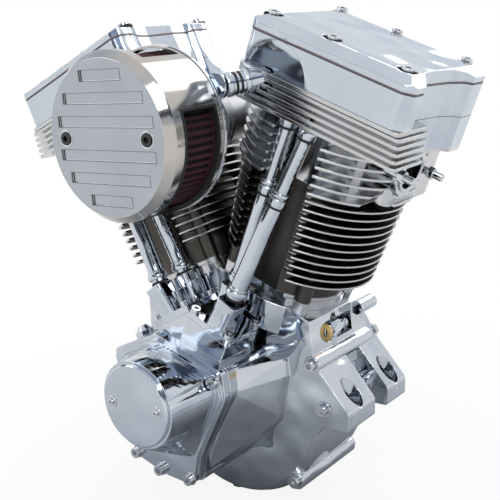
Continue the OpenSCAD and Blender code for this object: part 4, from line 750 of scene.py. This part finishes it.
# %% World
world = bpy.data.worlds.new("studio")
bpy.context.scene.world = world
world.use_nodes = True
wt = world.node_tree
bg = wt.nodes["Background"]
tc = node(wt, "ShaderNodeTexCoord")
sep = node(wt, "ShaderNodeSeparateXYZ")
uneven = node(wt, "ShaderNodeTexNoise", Scale=5.0, Detail=4.0)
ramp = node(wt, "ShaderNodeValToRGB")
stops = [(0.0, (0.80, 0.82, 0.85)), (0.27, (0.62, 0.66, 0.72)), (0.30, (0.05, 0.06, 0.09)),
         (0.47, (0.07, 0.09, 0.14)), (0.52, (0.42, 0.52, 0.68)), (0.75, (0.62, 0.70, 0.82)),
         (1.0, (0.95, 0.96, 0.98))]
elements = ramp.color_ramp.elements
elements[0].position, elements[1].position = stops[0][0], stops[-1][0]
for pos, _ in stops[1:-1]:
    elements.new(pos)
for e, (pos, color) in zip(elements, stops):
    e.color = (*color, 1)
wt.links.new(tc.outputs["Generated"], sep.inputs[0])
wt.links.new(tc.outputs["Generated"], uneven.inputs["Vector"])
CARD_WAVE, CARD_LIFT = 0.25, 0.6
wave = math_node(wt, "MULTIPLY", math_node(wt, "SUBTRACT", uneven.outputs["Fac"], 0.5), CARD_WAVE)
lift = spread(wt, sep.outputs["Y"], 0.1, 0.5, 0.0, CARD_LIFT)
height = math_node(wt, "ADD", math_node(wt, "ADD", sep.outputs["Z"], wave), lift)
wt.links.new(height, ramp.inputs["Fac"])
wt.links.new(ramp.outputs["Color"], bg.inputs["Color"])
print("world ready")

# %% [markdown]
# The studio is a wide dish: a flat floor that curves up into a low wall all round. The camera sees it
# white, with the engine's shadow. The metal sees it white too, apart from the ground near the engine,
# which it sees as it is lit, with painted shade that darkens the floor's colour where the engine stands
# over it.

# %% Studio dish
FLOOR_Z, DISH_STEPS = first_bounds[0][2] - MM, 64
DARKENS, SHADOW_FADES, TURNS_WHITE = (0.42, 0.12), (0.2, 0.7), (0.35, 1.1)    # metres from the middle
floor_mat = bpy.data.materials.new("studio_floor")
floor_mat.use_nodes = True
ft = floor_mat.node_tree
fp = ft.nodes["Principled BSDF"]
fp.inputs["Roughness"].default_value = 0.9
fp.inputs["Specular IOR Level"].default_value = 0.0
path = node(ft, "ShaderNodeLightPath")
mirrored = math_node(ft, "ADD", path.outputs["Is Glossy Ray"], path.outputs["Is Transmission Ray"],
                     clamp=True)
from_engine = vector_node(ft, "LENGTH", node(ft, "ShaderNodeTexCoord").outputs["Object"])
# Painted shade: in reflections only, the floor's colour darkens towards the middle, below the engine.
under = both(ft, mirrored, spread(ft, from_engine, *DARKENS))
ft.links.new(mix_color(ft, under, (0.60, 0.61, 0.62), (0.22, 0.22, 0.23)), fp.inputs["Base Color"])
direct = both(ft, path.outputs["Is Camera Ray"], spread(ft, from_engine, *SHADOW_FADES, 0.9, 1.0))
reflected = both(ft, mirrored, spread(ft, from_engine, *TURNS_WHITE))
em = node(ft, "ShaderNodeEmission", Strength=1.0)
mix = node(ft, "ShaderNodeMixShader")
ft.links.new(math_node(ft, "ADD", direct, reflected, clamp=True), mix.inputs["Fac"])
ft.links.new(fp.outputs[0], mix.inputs[1])
ft.links.new(em.outputs[0], mix.inputs[2])
ft.links.new(mix.outputs[0], ft.nodes["Material Output"].inputs["Surface"])

bm = bmesh.new()
profile = [(0, 0), (1.0, 0), (2.4, 0), (3.0, 0.06), (3.5, 0.25), (3.8, 0.6), (3.9, 1.1)]
verts = [bm.verts.new((r, 0, FLOOR_Z + z)) for r, z in profile]
edges = [bm.edges.new((verts[i], verts[i + 1])) for i in range(len(verts) - 1)]
bmesh.ops.spin(bm, geom=verts + edges, cent=(0, 0, 0), axis=(0, 0, 1), angle=2 * math.pi,
               steps=DISH_STEPS, use_merge=True)
bmesh.ops.remove_doubles(bm, verts=bm.verts, dist=1e-5)
floor = mesh_object("studio_dish", bm, floor_mat)
for poly in floor.data.polygons:
    if poly.normal.z < 0:
        floor.data.flip_normals()
        break
print("floor at", round(FLOOR_Z, 4))

# %% Finish
bpy.context.scene.view_settings.view_transform = "Standard"
